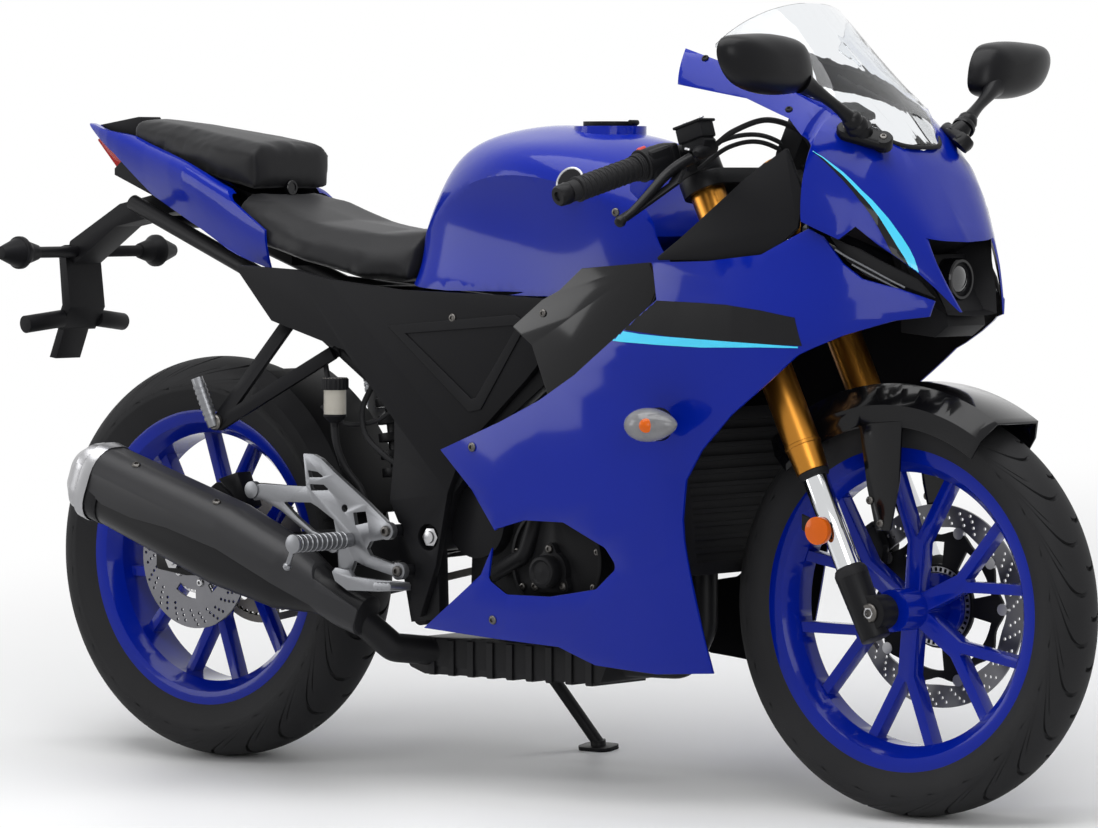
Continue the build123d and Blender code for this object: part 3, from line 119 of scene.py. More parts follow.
class BikeColours(bpy.types.PropertyGroup):
    """Colours of the finishes"""
    paint: FloatVectorProperty(
        name="Paint", description="Lacquered body panels and wheels",
        default=(0.0006, 0.012, 0.27), min=0.0, max=1.0, size=3, subtype="COLOR")
    gold: FloatVectorProperty(
        name="Fork", description="Anodised fork tubes",
        default=(0.42, 0.18, 0.028), min=0.0, max=1.0, size=3, subtype="COLOR")
    stripe: FloatVectorProperty(
        name="Stripe", description="Thin bright stripes on the fairing and the nose",
        default=(0.02, 0.62, 0.92), min=0.0, max=1.0, size=3, subtype="COLOR")
    vinyl: FloatVectorProperty(
        name="Seats", description="Seat covers",
        default=(0.012, 0.012, 0.013), min=0.0, max=1.0, size=3, subtype="COLOR")
    floor: FloatVectorProperty(
        name="Floor", description="Studio floor",
        default=(0.86, 0.86, 0.86), min=0.0, max=1.0, size=3, subtype="COLOR")


# ---- finishes ----
# colour sockets of a Mix node, whose names its other sockets share
MIX_A, MIX_B, MIX_RESULT = 6, 7, 2
DENT_SIZE = 0.0003
LACQUER = {"Specular_IOR_Level": 0.04, "Coat_Weight": 0.9, "Coat_Roughness": 0.09, "Coat_IOR": 1.25}
BARE_PLASTIC = (0.006, 0.006, 0.007, 1.0)
# body panels face away from a line at this height along the machine
BODY_MIDDLE = Vector((0, 0, 750))
INWARDS = -0.03


def wired(tree, kind, inputs, **options):
    """Adds a node: sets its options, then gives each input its value or the output that feeds it."""
    made = tree.nodes.new("ShaderNode" + kind)
    for option, value in options.items():
        setattr(made, option, value)
    for socket, value in inputs.items():
        if isinstance(value, bpy.types.NodeSocket):
            tree.links.new(value, made.inputs[socket])
        else:
            made.inputs[socket].default_value = value
    return made


def finish(name, colour, rough, metallic, mottle, clouds, grain, dents, leather=False, **settings):
    """A procedural finish: its colour wanders in clouds, and a fine grain roughens and dents it.

    mottle is how far the colour wanders, clouds and grain are the scales of the broad and the fine
    pattern, dents is the strength of the bump, and settings are further inputs of the shader.
    """
    material = bpy.data.materials.get(name)
    if material:
        return material
    material = bpy.data.materials.new(name)
    material.use_nodes = True
    tree = material.node_tree
    shader = tree.nodes["Principled BSDF"]
    shader.inputs["Metallic"].default_value = metallic
    for socket, value in settings.items():
        shader.inputs[socket.replace("_", " ")].default_value = value
    place = wired(tree, "TexCoord", {}).outputs["Object"]
    broad = wired(tree, "TexNoise", {"Vector": place, "Scale": clouds, "Detail": 4.0})
    if leather:
        fine = wired(tree, "TexVoronoi", {"Vector": place, "Scale": grain}, feature="DISTANCE_TO_EDGE")
        grained = fine.outputs["Distance"]
    else:
        fine = wired(tree, "TexNoise", {"Vector": place, "Scale": grain, "Detail": 3.0})
        grained = fine.outputs["Fac"]
    tint = wired(tree, "Mix", {
        "Factor": broad.outputs["Fac"],
        MIX_A: [c * (1 - mottle) for c in colour] + [1.0],
        MIX_B: [min(1.0, c * (1 + mottle)) for c in colour] + [1.0],
    }, data_type="RGBA")
    tree.links.new(tint.outputs[MIX_RESULT], shader.inputs["Base Color"])
    haze = wired(tree, "MapRange", {
        "Value": grained, "To Min": rough * 0.85, "To Max": min(1.0, rough * 1.15)})
    tree.links.new(haze.outputs["Result"], shader.inputs["Roughness"])
    if dents:
        bump = wired(tree, "Bump", {"Height": grained, "Strength": dents, "Distance": DENT_SIZE})
        tree.links.new(bump.outputs["Normal"], shader.inputs["Normal"])
    return material


def lacquered(name):
    """Deep pearl blue under a thick clear coat."""
    paint = bpy.context.scene.bike_colours.paint
    return finish(name, paint, 0.3, 0.0, 0.05, 6.0, 2600.0, 0.02, **LACQUER)


def blue_lacquer():
    """The blue of the tank and the wheels, the same on every face."""
    return lacquered("blue_lacquer")


def panel_lacquer():
    """The blue of the body on outer faces, bare black plastic on the faces that look inwards."""
    material = lacquered("panel_lacquer")
    tree = material.node_tree
    if "inside" in tree.nodes:
        return material
    shader = tree.nodes["Principled BSDF"]
    place = wired(tree, "NewGeometry", {})
    arm = wired(tree, "VectorMath", {0: place.outputs["Position"], 1: PARKED @ BODY_MIDDLE},
                operation="SUBTRACT")
    arm_across = wired(tree, "VectorMath", {0: arm.outputs["Vector"], 1: (0.0, 1.0, 1.0)},
                       operation="MULTIPLY")
    facing = wired(tree, "VectorMath", {0: arm_across.outputs["Vector"], 1: place.outputs["Normal"]},
                   operation="DOT_PRODUCT")
    inside = wired(tree, "Math", {0: facing.outputs["Value"], 1: INWARDS},
                   operation="LESS_THAN", name="inside")
    blue = shader.inputs["Base Color"].links[0].from_socket
    plain = wired(tree, "Mix", {"Factor": inside.outputs["Value"], MIX_A: blue, MIX_B: BARE_PLASTIC},
                  data_type="RGBA")
    tree.links.new(plain.outputs[MIX_RESULT], shader.inputs["Base Color"])
    coated = wired(tree, "Math", {0: LACQUER["Coat_Weight"], 1: inside.outputs["Value"]},
                   operation="SUBTRACT", use_clamp=True)
    tree.links.new(coated.outputs["Value"], shader.inputs["Coat Weight"])
    return material


def black_lacquer():
    """Glossy moulded black under a clear coat."""
    return finish("black_lacquer", (0.003, 0.003, 0.004), 0.2, 0.0, 0.1, 8.0, 2000.0, 0.02,
                  Specular_IOR_Level=0.05, Coat_Weight=1.0, Coat_Roughness=0.08, Coat_IOR=1.28)


def satin_black():
    """Powder-coated steel and aluminium."""
    return finish("satin_black", (0.006, 0.006, 0.007), 0.4, 0.0, 0.12, 20.0, 1500.0, 0.12,
                  Specular_IOR_Level=0.12)


def moulded_black():
    """Fine-grained matt plastic."""
    return finish("moulded_black", (0.006, 0.006, 0.007), 0.5, 0.0, 0.12, 18.0, 1400.0, 0.2,
                  Specular_IOR_Level=0.1)


def mirror_black():
    """Satin plastic of the mirror shells and levers."""
    return finish("mirror_black", (0.005, 0.005, 0.006), 0.34, 0.0, 0.1, 18.0, 1200.0, 0.08,
                  Specular_IOR_Level=0.14)


def tyre_rubber():
    """Clean tyre rubber, a little dusty."""
    return finish("tyre_rubber", (0.018, 0.018, 0.019), 0.62, 0.0, 0.2, 12.0, 700.0, 0.25,
                  Specular_IOR_Level=0.12)


def soft_rubber():
    """Rubber of grips, boots and hoses."""
    return finish("soft_rubber", (0.011, 0.011, 0.012), 0.6, 0.0, 0.15, 30.0, 900.0, 0.2,
                  Specular_IOR_Level=0.15)


def seat_vinyl():
    """Black vinyl with a leather grain."""
    vinyl = bpy.context.scene.bike_colours.vinyl
    return finish("seat_vinyl", vinyl, 0.5, 0.0, 0.15, 16.0, 520.0, 0.22, leather=True,
                  Sheen_Weight=0.08, Sheen_Roughness=0.4, Specular_IOR_Level=0.12)


def gold_anodised():
    """Gold anodised aluminium."""
    gold = bpy.context.scene.bike_colours.gold
    return finish("gold_anodised", gold, 0.3, 1.0, 0.06, 10.0, 1200.0, 0.05)


def chromed():
    """Hard chrome of the sliding tubes."""
    return finish("chromed", (0.62, 0.63, 0.64), 0.08, 1.0, 0.03, 8.0, 2000.0, 0.01)


def plated_steel():
    """Zinc-plated screws, nuts and axle ends."""
    return finish("plated_steel", (0.42, 0.42, 0.43), 0.3, 1.0, 0.12, 60.0, 2200.0, 0.08)


def brushed_aluminium():
    """Satin cast and machined aluminium of the foot controls."""
    return finish("brushed_aluminium", (0.2, 0.204, 0.215), 0.34, 0.85, 0.08, 25.0, 1500.0, 0.12)


def ground_steel():
    """Brake discs, ground flat and used."""
    return finish("ground_steel", (0.14, 0.14, 0.15), 0.32, 1.0, 0.2, 20.0, 900.0, 0.1)


def dark_steel():
    """Oiled chain and sprocket steel."""
    return finish("dark_steel", (0.1, 0.095, 0.09), 0.35, 1.0, 0.3, 60.0, 1500.0, 0.15)


def cast_grey():
    """Dark painted engine castings."""
    return finish("cast_grey", (0.007, 0.007, 0.008), 0.48, 0.0, 0.15, 25.0, 700.0, 0.3,
                  Specular_IOR_Level=0.12)


def heat_black():
    """Heat-proof black of the silencer and exhaust."""
    return finish("heat_black", (0.008, 0.008, 0.009), 0.4, 0.0, 0.15, 10.0, 1600.0, 0.1,
                  Specular_IOR_Level=0.15)


def shield_grey():
    """Dark grey heat shield."""
    return finish("shield_grey", (0.026, 0.026, 0.028), 0.4, 0.1, 0.1, 9.0, 1600.0, 0.1,
                  Specular_IOR_Level=0.2)


def cap_silver():
    """Brushed steel of the silencer end cap."""
    return finish("cap_silver", (0.34, 0.34, 0.35), 0.33, 0.9, 0.1, 12.0, 1500.0, 0.1)


def clear_screen():
    """Clear acrylic."""
    return finish("clear_screen", (0.86, 0.88, 0.9), 0.02, 0.0, 0.01, 5.0, 100.0, 0.0,
                  Transmission_Weight=1.0, IOR=1.3)


def clear_lens():
    """Clear lens plastic."""
    return finish("clear_lens", (0.26, 0.26, 0.27), 0.08, 0.0, 0.3, 60.0, 260.0, 0.3,
                  Transmission_Weight=0.3, IOR=1.4)


def amber_lens():
    """Orange lens plastic."""
    return finish("amber_lens", (0.62, 0.11, 0.004), 0.2, 0.0, 0.08, 30.0, 400.0, 0.05,
                  Specular_IOR_Level=0.1, Coat_Weight=0.6, Coat_IOR=1.25)


def red_lens():
    """Red lens plastic."""
    return finish("red_lens", (0.42, 0.006, 0.005), 0.2, 0.0, 0.08, 30.0, 400.0, 0.05,
                  Specular_IOR_Level=0.1, Coat_Weight=0.5, Coat_IOR=1.25)


def smoked_lens():
    """Dark lens of the lamps in the nose."""
    return finish("smoked_lens", (0.01, 0.01, 0.012), 0.06, 0.0, 0.1, 20.0, 300.0, 0.0,
                  Coat_Weight=1.0)


def light_guide():
    """Grey light-guide bars of the position lamps."""
    return finish("light_guide", (0.1, 0.105, 0.115), 0.25, 0.0, 0.06, 30.0, 500.0, 0.03,
                  Coat_Weight=0.6)


def cloudy_plastic():
    """Translucent reservoir plastic."""
    return finish("cloudy_plastic", (0.55, 0.52, 0.45), 0.35, 0.0, 0.08, 40.0, 500.0, 0.05,
                  Transmission_Weight=0.25)


def radiator_core():
    """Dusty black radiator fins."""
    return finish("radiator_core", (0.008, 0.008, 0.009), 0.6, 0.0, 0.2, 40.0, 500.0, 0.3,
                  Specular_IOR_Level=0.1)


def bright_print():
    """Bright stripe film."""
    stripe = bpy.context.scene.bike_colours.stripe
    return finish("bright_print", stripe, 0.3, 0.0, 0.03, 20.0, 900.0, 0.02, Coat_Weight=0.8)


def grey_print():
    """Dark grey decal film."""
    return finish("grey_print", (0.004, 0.004, 0.005), 0.25, 0.0, 0.05, 20.0, 900.0, 0.02,
                  Specular_IOR_Level=0.05, Coat_Weight=1.0, Coat_IOR=1.25)


def red_plastic():
    """Red switch plastic."""
    return finish("red_plastic", (0.5, 0.015, 0.01), 0.35, 0.0, 0.08, 30.0, 900.0, 0.1)


def mirror_glass():
    """Silvered mirror glass."""
    return finish("mirror_glass", (0.8, 0.82, 0.84), 0.02, 1.0, 0.01, 6.0, 100.0, 0.0)


# ---- shapes ----
def meshes(count):
    """Empty meshes, one for each piece of a group."""
    return [bmesh.new() for _ in range(count)]


def at(x, out, z):
    """A place on the upright machine from its side-view place and its distance out to the right."""
    return Vector((x, -out, z))


def route(points, side=1, further=0.0):
    """Places on one side of the machine from their (x, out, z)."""
    return [at(x, side * (out + further), z) for x, out, z in points]


def frame_of(way):
    """A way at unit length, and two directions at right angles to it and to each other."""
    way = Vector(way).normalized()
    side = way.cross(UP)
    if side.length < 0.1:
        side = way.cross(FORWARD)
    side.normalize()
    return way, side, way.cross(side)


def bridge(mesh, lower, upper, closed):
    """Faces between two rows of vertices."""
    count = len(lower)
    for i in range(count if closed else count - 1):
        j = (i + 1) % count
        mesh.faces.new((lower[i], lower[j], upper[j], upper[i]))


def skinned(mesh, rows, closed=True, capped=True):
    """A tube through rows of points, closed by a face at each end."""
    made = [[mesh.verts.new(point) for point in row] for row in rows]
    for lower, upper in zip(made, made[1:]):
        bridge(mesh, lower, upper, closed)
    if capped and closed:
        mesh.faces.new(made[0][::-1])
        mesh.faces.new(made[-1])
    return made


def ring_points(centre, way, radius, sides, hexagon):
    """Points round a circle, or round a hexagon with the same number of points."""
    side, lift = frame_of(way)[1:]
    points = []
    for i in range(sides):
        angle = 2 * math.pi * i / sides
        reach = radius
        if hexagon:
            reach = radius / math.cos((angle % (math.pi / 3)) - math.pi / 6)
        points.append(centre + side * math.cos(angle) * reach + lift * math.sin(angle) * reach)
    return points


def turned(mesh, centre, way, rings, sides, capped=True):
    """A turned form along a way, from rings (how far along, radius) or (along, radius, "hex")."""
    direction = Vector(way).normalized()
    skinned(mesh, [ring_points(centre + direction * ring[0], direction, ring[1], sides, len(ring) > 2)
                   for ring in rings], capped=capped)


def screw(mesh, spot, way, radius, height=None):
    """A button-head screw with a hexagon socket."""
    height = height or radius * 0.6
    turned(mesh, Vector(spot), way, [
        (-0.5, radius), (height * 0.35, radius), (height * 0.8, radius * 0.86), (height, radius * 0.62),
        (height, radius * 0.42, "hex"), (height * 0.35, radius * 0.4, "hex"),
    ], 18)


def hex_nut(mesh, spot, way, radius, height):
    """A hexagon nut on its washer, with the end of its stud."""
    bore = radius * 0.45
    turned(mesh, Vector(spot), way, [
        (-0.5, radius * 1.25), (height * 0.16, radius * 1.25), (height * 0.16, radius * 0.9, "hex"),
        (height * 0.9, radius * 0.9, "hex"), (height, radius * 0.8), (height, bore * 1.15),
        (height * 0.9, bore), (height * 1.25, bore), (height * 1.35, bore * 0.7),
    ], 24)


def curve_points(points, steps):
    """Points along a smooth line through the given ones."""
    line = [Vector(point) for point in points]
    if len(line) < 3:
        return line
    ends = [line[0] * 2 - line[1]] + line + [line[-1] * 2 - line[-2]]
    smooth = []
    for a, b, c, d in zip(ends, ends[1:], ends[2:], ends[3:]):
        for step in range(steps):
            t = step / steps
            smooth.append(0.5 * (2 * b + (c - a) * t + (2 * a - 5 * b + 4 * c - d) * t * t
                                 + (3 * b - a - 3 * c + d) * t ** 3))
    smooth.append(line[-1])
    return smooth


def tube(mesh, points, radius, sides=14, steps=8):
    """A round tube along a smooth line; radius is a number or a function of the share of its length."""
    line = curve_points(points, steps)
    rows = []
    side = None
    for i, point in enumerate(line):
        way = (line[min(i + 1, len(line) - 1)] - line[max(i - 1, 0)]).normalized()
        if side is None:
            way, side = frame_of(way)[:2]
        side = (side - way * side.dot(way)).normalized()
        lift = way.cross(side)
        reach = radius(i / (len(line) - 1)) if callable(radius) else radius
        rows.append([point + (side * math.cos(2 * math.pi * k / sides)
                              + lift * math.sin(2 * math.pi * k / sides)) * reach for k in range(sides)])
    skinned(mesh, rows)


def slab(mesh, outline, out_low, out_high, edge=0.0):
    """A side-view outline [(x, z)] between two distances out, with its outer edge eased inwards."""
    centre_x = sum(x for x, z in outline) / len(outline)
    centre_z = sum(z for x, z in outline) / len(outline)

    def row(out, ease):
        points = []
        for x, z in outline:
            pull = Vector((centre_x - x, centre_z - z))
            pull = pull.normalized() * ease if pull.length else pull
            points.append(at(x + pull.x, out, z + pull.y))
        return points

    rows = [row(out_low, 0.0)]
    if edge:
        way = 1 if out_high > out_low else -1
        rows.append(row(out_high - way * edge, 0.0))
    rows.append(row(out_high, edge))
    skinned(mesh, rows)


def round_loop(radius, count, wave=0.0, lobes=0, centre=(0, 0)):
    """A closed loop of (x, y) round a centre, waved in lobes."""
    points = []
    for i in range(count):
        angle = 2 * math.pi * i / count
        reach = radius + wave * math.cos(lobes * angle)
        points.append((centre[0] + reach * math.cos(angle), centre[1] + reach * math.sin(angle)))
    return points


def sector(inner, outer, start, end, steps):
    """A closed loop round a window between two radii and two angles in degrees."""
    angles = [math.radians(start + (end - start) * i / steps) for i in range(steps + 1)]
    far = [(outer * math.cos(a), outer * math.sin(a)) for a in angles]
    near = [(inner * math.cos(a), inner * math.sin(a)) for a in reversed(angles)]
    return far + near


def flat(mesh, outer, holes, place, thickness, ease=0.0):
    """A plate with holes, from loops in its own plane; place turns that plane and moves it."""
    data = bpy.data.curves.new("flat", "CURVE")
    data.dimensions = "2D"
    data.fill_mode = "BOTH"
    data.extrude = thickness / 2
    data.bevel_depth = ease
    for loop in (outer, *holes):
        spline = data.splines.new("POLY")
        spline.points.add(len(loop) - 1)
        for point, (x, y) in zip(spline.points, loop):
            point.co = (x, y, 0.0, 1.0)
        spline.use_cyclic_u = True
    holder = bpy.data.objects.new("flat", data)
    made = bpy.data.meshes.new_from_object(holder)
    made.transform(place)
    mesh.from_mesh(made)
    bpy.data.objects.remove(holder)
    bpy.data.curves.remove(data)
    bpy.data.meshes.remove(made)


def across(spot):
    """A plane that faces right at a spot: its x is forward and its y is up."""
    return Matrix.Translation(spot) @ Matrix.Rotation(math.radians(90), 4, "X")


def brick(mesh, centre, way, up, size, ease):
    """A block with eased edges: size is along its way, across it and along up."""
    way = Vector(way).normalized()
    up = (Vector(up) - way * Vector(up).dot(way)).normalized()
    turn = Matrix((way, up.cross(way), up)).transposed().to_4x4()
    place = Matrix.Translation(centre) @ turn @ Matrix.Diagonal((*size, 1))
    part = bmesh.new()
    bmesh.ops.create_cube(part, size=1.0, matrix=place)
    bmesh.ops.bevel(part, geom=part.edges[:], offset=ease, segments=3, affect="EDGES", profile=0.6)
    data = bpy.data.meshes.new("brick")
    part.to_mesh(data)
    part.free()
    mesh.from_mesh(data)
    bpy.data.meshes.remove(data)


def both_sides(make):
    """Calls make(side) for the right and the left."""
    for side in (1, -1):
        make(side)


# ---- surfaces of the frame's nodes ----
SKINS = {}
BEYOND_BODY = 420.0
FILM_STEPS, FILM_ROWS = 110, 6


def skin_of(*nodes):
    """A search tree over CAD nodes, upright and in millimetres."""
    if nodes not in SKINS:
        corners, faces = [], []
        for node in nodes:
            data = frame["nodes"][node].data
            start = len(corners)
            corners.extend(UPRIGHT @ v.co for v in data.vertices)
            faces.extend([start + i for i in face.vertices] for face in data.polygons)
        SKINS[nodes] = BVHTree.FromPolygons(corners, faces)
    return SKINS[nodes]


def laid_on(skin, x, z, side):
    """Where a line from the given side meets a surface, and the surface's way out, or None."""
    spot, normal = skin.ray_cast(at(x, side * BEYOND_BODY, z), Vector((0, side, 0)))[:2]
    if spot is None:
        return None
    if normal.y * side > 0:
        normal = -normal
    return spot, normal


def film(mesh, skin, upper, lower, side, lift):
    """A decal between two side-view lines [(x, z)], laid on a surface."""
    top = resampled(upper, FILM_STEPS)
    bottom = resampled(lower, FILM_STEPS)
    grid = []
    for j in range(FILM_ROWS + 1):
        line = []
        for (top_x, top_z), (low_x, low_z) in zip(top, bottom):
            x = top_x + (low_x - top_x) * j / FILM_ROWS
            z = top_z + (low_z - top_z) * j / FILM_ROWS
            found = laid_on(skin, x, z, side)
            line.append(None if found is None else mesh.verts.new(found[0] + found[1] * lift))
        grid.append(line)
    for a, b in zip(grid, grid[1:]):
        for i in range(FILM_STEPS):
            corners = [a[i], a[i + 1], b[i + 1], b[i]]
            if None not in corners:
                mesh.faces.new(corners if side > 0 else corners[::-1])


def resampled(line, steps):
    """Points at even shares of the length of a side-view line, without rounding its corners."""
    lengths = [0.0]
    for (ax, az), (bx, bz) in zip(line, line[1:]):
        lengths.append(lengths[-1] + math.hypot(bx - ax, bz - az))
    points = []
    for step in range(steps + 1):
        want = lengths[-1] * step / steps
        i = next((k for k in range(len(line) - 2) if lengths[k + 1] >= want), len(line) - 2)
        span = lengths[i + 1] - lengths[i] or 1.0
        t = (want - lengths[i]) / span
        points.append((line[i][0] + (line[i + 1][0] - line[i][0]) * t,
                       line[i][1] + (line[i + 1][1] - line[i][1]) * t))
    return points


# ---- pieces ----
def piece(name, mesh, body, material, slot, sharp=35.0):
    """Makes an object from a mesh drawn upright, parks it and lets it ride on a body."""
    bmesh.ops.remove_doubles(mesh, verts=mesh.verts[:], dist=0.0001)
    bmesh.ops.recalc_face_normals(mesh, faces=mesh.faces[:])
    data = bpy.data.meshes.new(name)
    mesh.to_mesh(data)
    mesh.free()
    data.transform(PARKED)
    thing = bpy.data.objects.new(name, data)
    bpy.context.scene.collection.objects.link(thing)
    data.materials.append(material)
    data.shade_smooth()
    data.set_sharp_from_angle(angle=math.radians(sharp))
    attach(thing, body)
    return thing


def thicken(thing, depth):
    """Gives an open sheet a thickness in millimetres."""
    solid = thing.modifiers.new("thickness", "SOLIDIFY")
    solid.thickness = depth * MM
    solid.offset = 1.0


# ---- operators: one for each piece or group of like pieces ----
NODE_FINISHES = {
    blue_lacquer: ("fuel_tank", "front_rim", "rear_rim"),
    panel_lacquer: ("tail_cowls", "side_fairings", "upper_cowl"),
    black_lacquer: ("air_panels", "front_fender"),
    satin_black: ("frame", "swingarm", "rear_caliper", "passenger_brackets", "triple_clamps", "fork_legs",
                  "handlebars", "front_caliper", "side_stand", "shock"),
    moulded_black: ("lamp_surrounds", "headlights", "side_covers", "tail_tray", "cockpit", "rear_mudguard",
                    "hand_controls", "fuel_cap", "indicators"),
    mirror_black: ("mirrors",),
    soft_rubber: ("grips",),
    cast_grey: ("engine",),
    radiator_core: ("radiator",),
    heat_black: ("exhaust",),
    shield_grey: ("silencer_shield",),
    cap_silver: ("silencer_cap",),
    gold_anodised: ("fork_tubes",),
    chromed: ("fork_stanchions",),
    plated_steel: ("axles", "front_axle"),
    ground_steel: ("front_disc", "rear_disc"),
    dark_steel: ("chain", "rear_sprocket"),
    brushed_aluminium: ("footrest_brackets", "footpegs", "pedals"),
    cloudy_plastic: ("brake_reservoir",),
    clear_screen: ("windscreen",),
    red_lens: ("tail_light",),
    amber_lens: ("fork_reflectors",),
    tyre_rubber: ("front_tyre", "rear_tyre"),
    seat_vinyl: ("rider_seat", "pillion_seat"),
}


class BIKE_OT_finishes(bpy.types.Operator):
    """Gives each CAD node its finish and smooth shading"""
    bl_idname = "bike.finishes"
    bl_label = "Finishes"

    LEFT_PLAIN = ("chain", "rear_sprocket", "front_tyre", "rear_tyre", "rider_seat", "pillion_seat")
    WELD = 0.00002
    FLAT_ANGLE, EDGE_ANGLE, CREASE_ANGLE = math.radians(0.6), math.radians(38), math.radians(32)

    def execute(self, context):
        for make, nodes in NODE_FINISHES.items():
            for node in nodes:
                thing = frame["nodes"][node]
                for material_slot in thing.material_slots:
                    material_slot.material = make()
                if not thing.material_slots:
                    thing.data.materials.append(make())
                if node not in self.LEFT_PLAIN:
                    self.ease(thing)
        return {"FINISHED"}

    def ease(self, thing):
        """Joins a node's faces, rounds its edges a little and shades the rest smooth."""
        thing.data.shade_smooth()
        weld = thing.modifiers.new("joined faces", "WELD")
        weld.merge_threshold = self.WELD
        flat_faces = thing.modifiers.new("whole faces", "DECIMATE")
        flat_faces.decimate_type = "DISSOLVE"
        flat_faces.angle_limit = self.FLAT_ANGLE
        edge = thing.modifiers.new("eased edges", "BEVEL")
        edge.width = bpy.context.scene.bike_sizes.edge_round
        edge.segments = 2
        edge.limit_method = "ANGLE"
        edge.angle_limit = self.EDGE_ANGLE
        crease = thing.modifiers.new("creases", "EDGE_SPLIT")
        crease.split_angle = self.CREASE_ANGLE
        crease.use_edge_sharp = False


class BIKE_OT_tyres(bpy.types.Operator):
    """Tyres with curved directional grooves and bare sidewalls"""
    bl_idname = "bike.tyres"
    bl_label = "Tyres"

    # where a groove starts and ends, as shares of the way from the tread's middle to its edge
    LONG = (0.05, 0.9)
    SHORT = (0.46, 0.94)
    # round half a pitch: (share of the pitch, the groove that has its floor there)
    HALF_PITCH = ((0.0, None), (0.014, LONG), (0.078, LONG), (0.092, None), (0.16, None),
                  (0.26, None), (0.272, SHORT), (0.316, SHORT), (0.328, None), (0.41, None))
    # how far the grooves sweep back towards the edge, in radians, and how they curve on the way
    SWEEP, SWEEP_POWER, WAVE = 0.5, 1.4, 0.12
    # shares of the tread over which a groove's ends rise
    RISE_IN, RISE_OUT = 0.06, 0.08
    STEPS = 30
    TREAD_TURN = math.radians(100)
    CROWN = 0.62
    RIM_RADIUS = 222
    # each tyre: (end of the machine, axle, radius, half its width, half the width between its beads)
    TYRES = (("front", FRONT_AXLE, FRONT_RADIUS, 50, 36), ("rear", REAR_AXLE, REAR_RADIUS, 70, 52))

    def stations(self, pitches):
        """Rows of vertices round the tyre: (angle, side of the groove, groove)."""
        rows = []
        for pitch in range(pitches):
            for hand, start in ((1, 0.0), (-1, 0.5)):
                for share, groove in self.HALF_PITCH:
                    rows.append(((pitch + start + share) * 2 * math.pi / pitches, hand, groove))
        return rows

    def tread_line(self, radius, half_width):
        """Points across the tread: (share of its width, y, radius)."""
        crown = half_width * self.CROWN
        line = []
        for step in range(-self.STEPS, self.STEPS + 1):
            share = step / self.STEPS
            angle = min(abs(share) * self.TREAD_TURN, math.pi / 2)
            line.append((share, math.sin(angle) * half_width * math.copysign(1, share),
                         radius - crown * (1 - math.cos(angle))))
        return line

    def sunk(self, share, groove, depth):
        """How far the tread sinks at a share of the way across it."""
        if not groove or not groove[0] < share < groove[1]:
            return 0.0
        return depth * min(1.0, (share - groove[0]) / self.RISE_IN, (groove[1] - share) / self.RISE_OUT)

    def tyre(self, context, end, axle, radius, half_width, half_bead):
        """A grooved tread, two plain sidewalls and the seat on the rim."""
        node = end + "_tyre"
        sizes = context.scene.bike_sizes
        depth = sizes.tread_depth / MM
        mesh = bmesh.new()

        def vertex(reach, angle, y):
            return mesh.verts.new((axle.x + reach * math.cos(angle), y, axle.z + reach * math.sin(angle)))

        rows = self.stations(sizes.tread_pitches)
        across_tread = self.tread_line(radius, half_width)
        grid = []
        for angle, hand, groove in rows:
            line = []
            for share, y, reach in across_tread:
                bend = abs(share)
                swept = self.SWEEP * bend ** self.SWEEP_POWER - self.WAVE * math.sin(bend * math.pi)
                line.append(vertex(reach - self.sunk(share * hand, groove, depth), angle + swept, y))
            grid.append(line)
        edge = across_tread[0][2]
        height = radius - self.RIM_RADIUS
        bead = half_bead / half_width
        wall = [(1.0, edge - 6), (0.995, edge - 9), (0.985, self.RIM_RADIUS + height * 0.42),
                (0.93, self.RIM_RADIUS + height * 0.24), (bead + 0.04, self.RIM_RADIUS + height * 0.1),
                (bead, self.RIM_RADIUS + 2), (bead - 0.03, self.RIM_RADIUS - 3)]
        walls = []
        for angle, hand, groove in rows:
            left, right = [], []
            for share, reach in wall:
                left.append(vertex(reach, angle + self.SWEEP, -share * half_width))
                right.append(vertex(reach, angle + self.SWEEP, share * half_width))
            walls.append((left, right))
        for i, (left, right) in enumerate(walls):
            j = (i + 1) % len(walls)
            next_left, next_right = walls[j]
            bridge(mesh, grid[i], grid[j], closed=False)
            bridge(mesh, [grid[i][0]] + left, [grid[j][0]] + next_left, closed=False)
            bridge(mesh, [grid[i][-1]] + right, [grid[j][-1]] + next_right, closed=False)
            mesh.faces.new((left[-1], right[-1], next_right[-1], next_left[-1]))
        thing = piece(node + "_rubber", mesh, end + "_wheel", tyre_rubber(), node)
        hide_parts(node)

    def execute(self, context):
        for tyre in self.TYRES:
            self.tyre(context, *tyre)
        return {"FINISHED"}


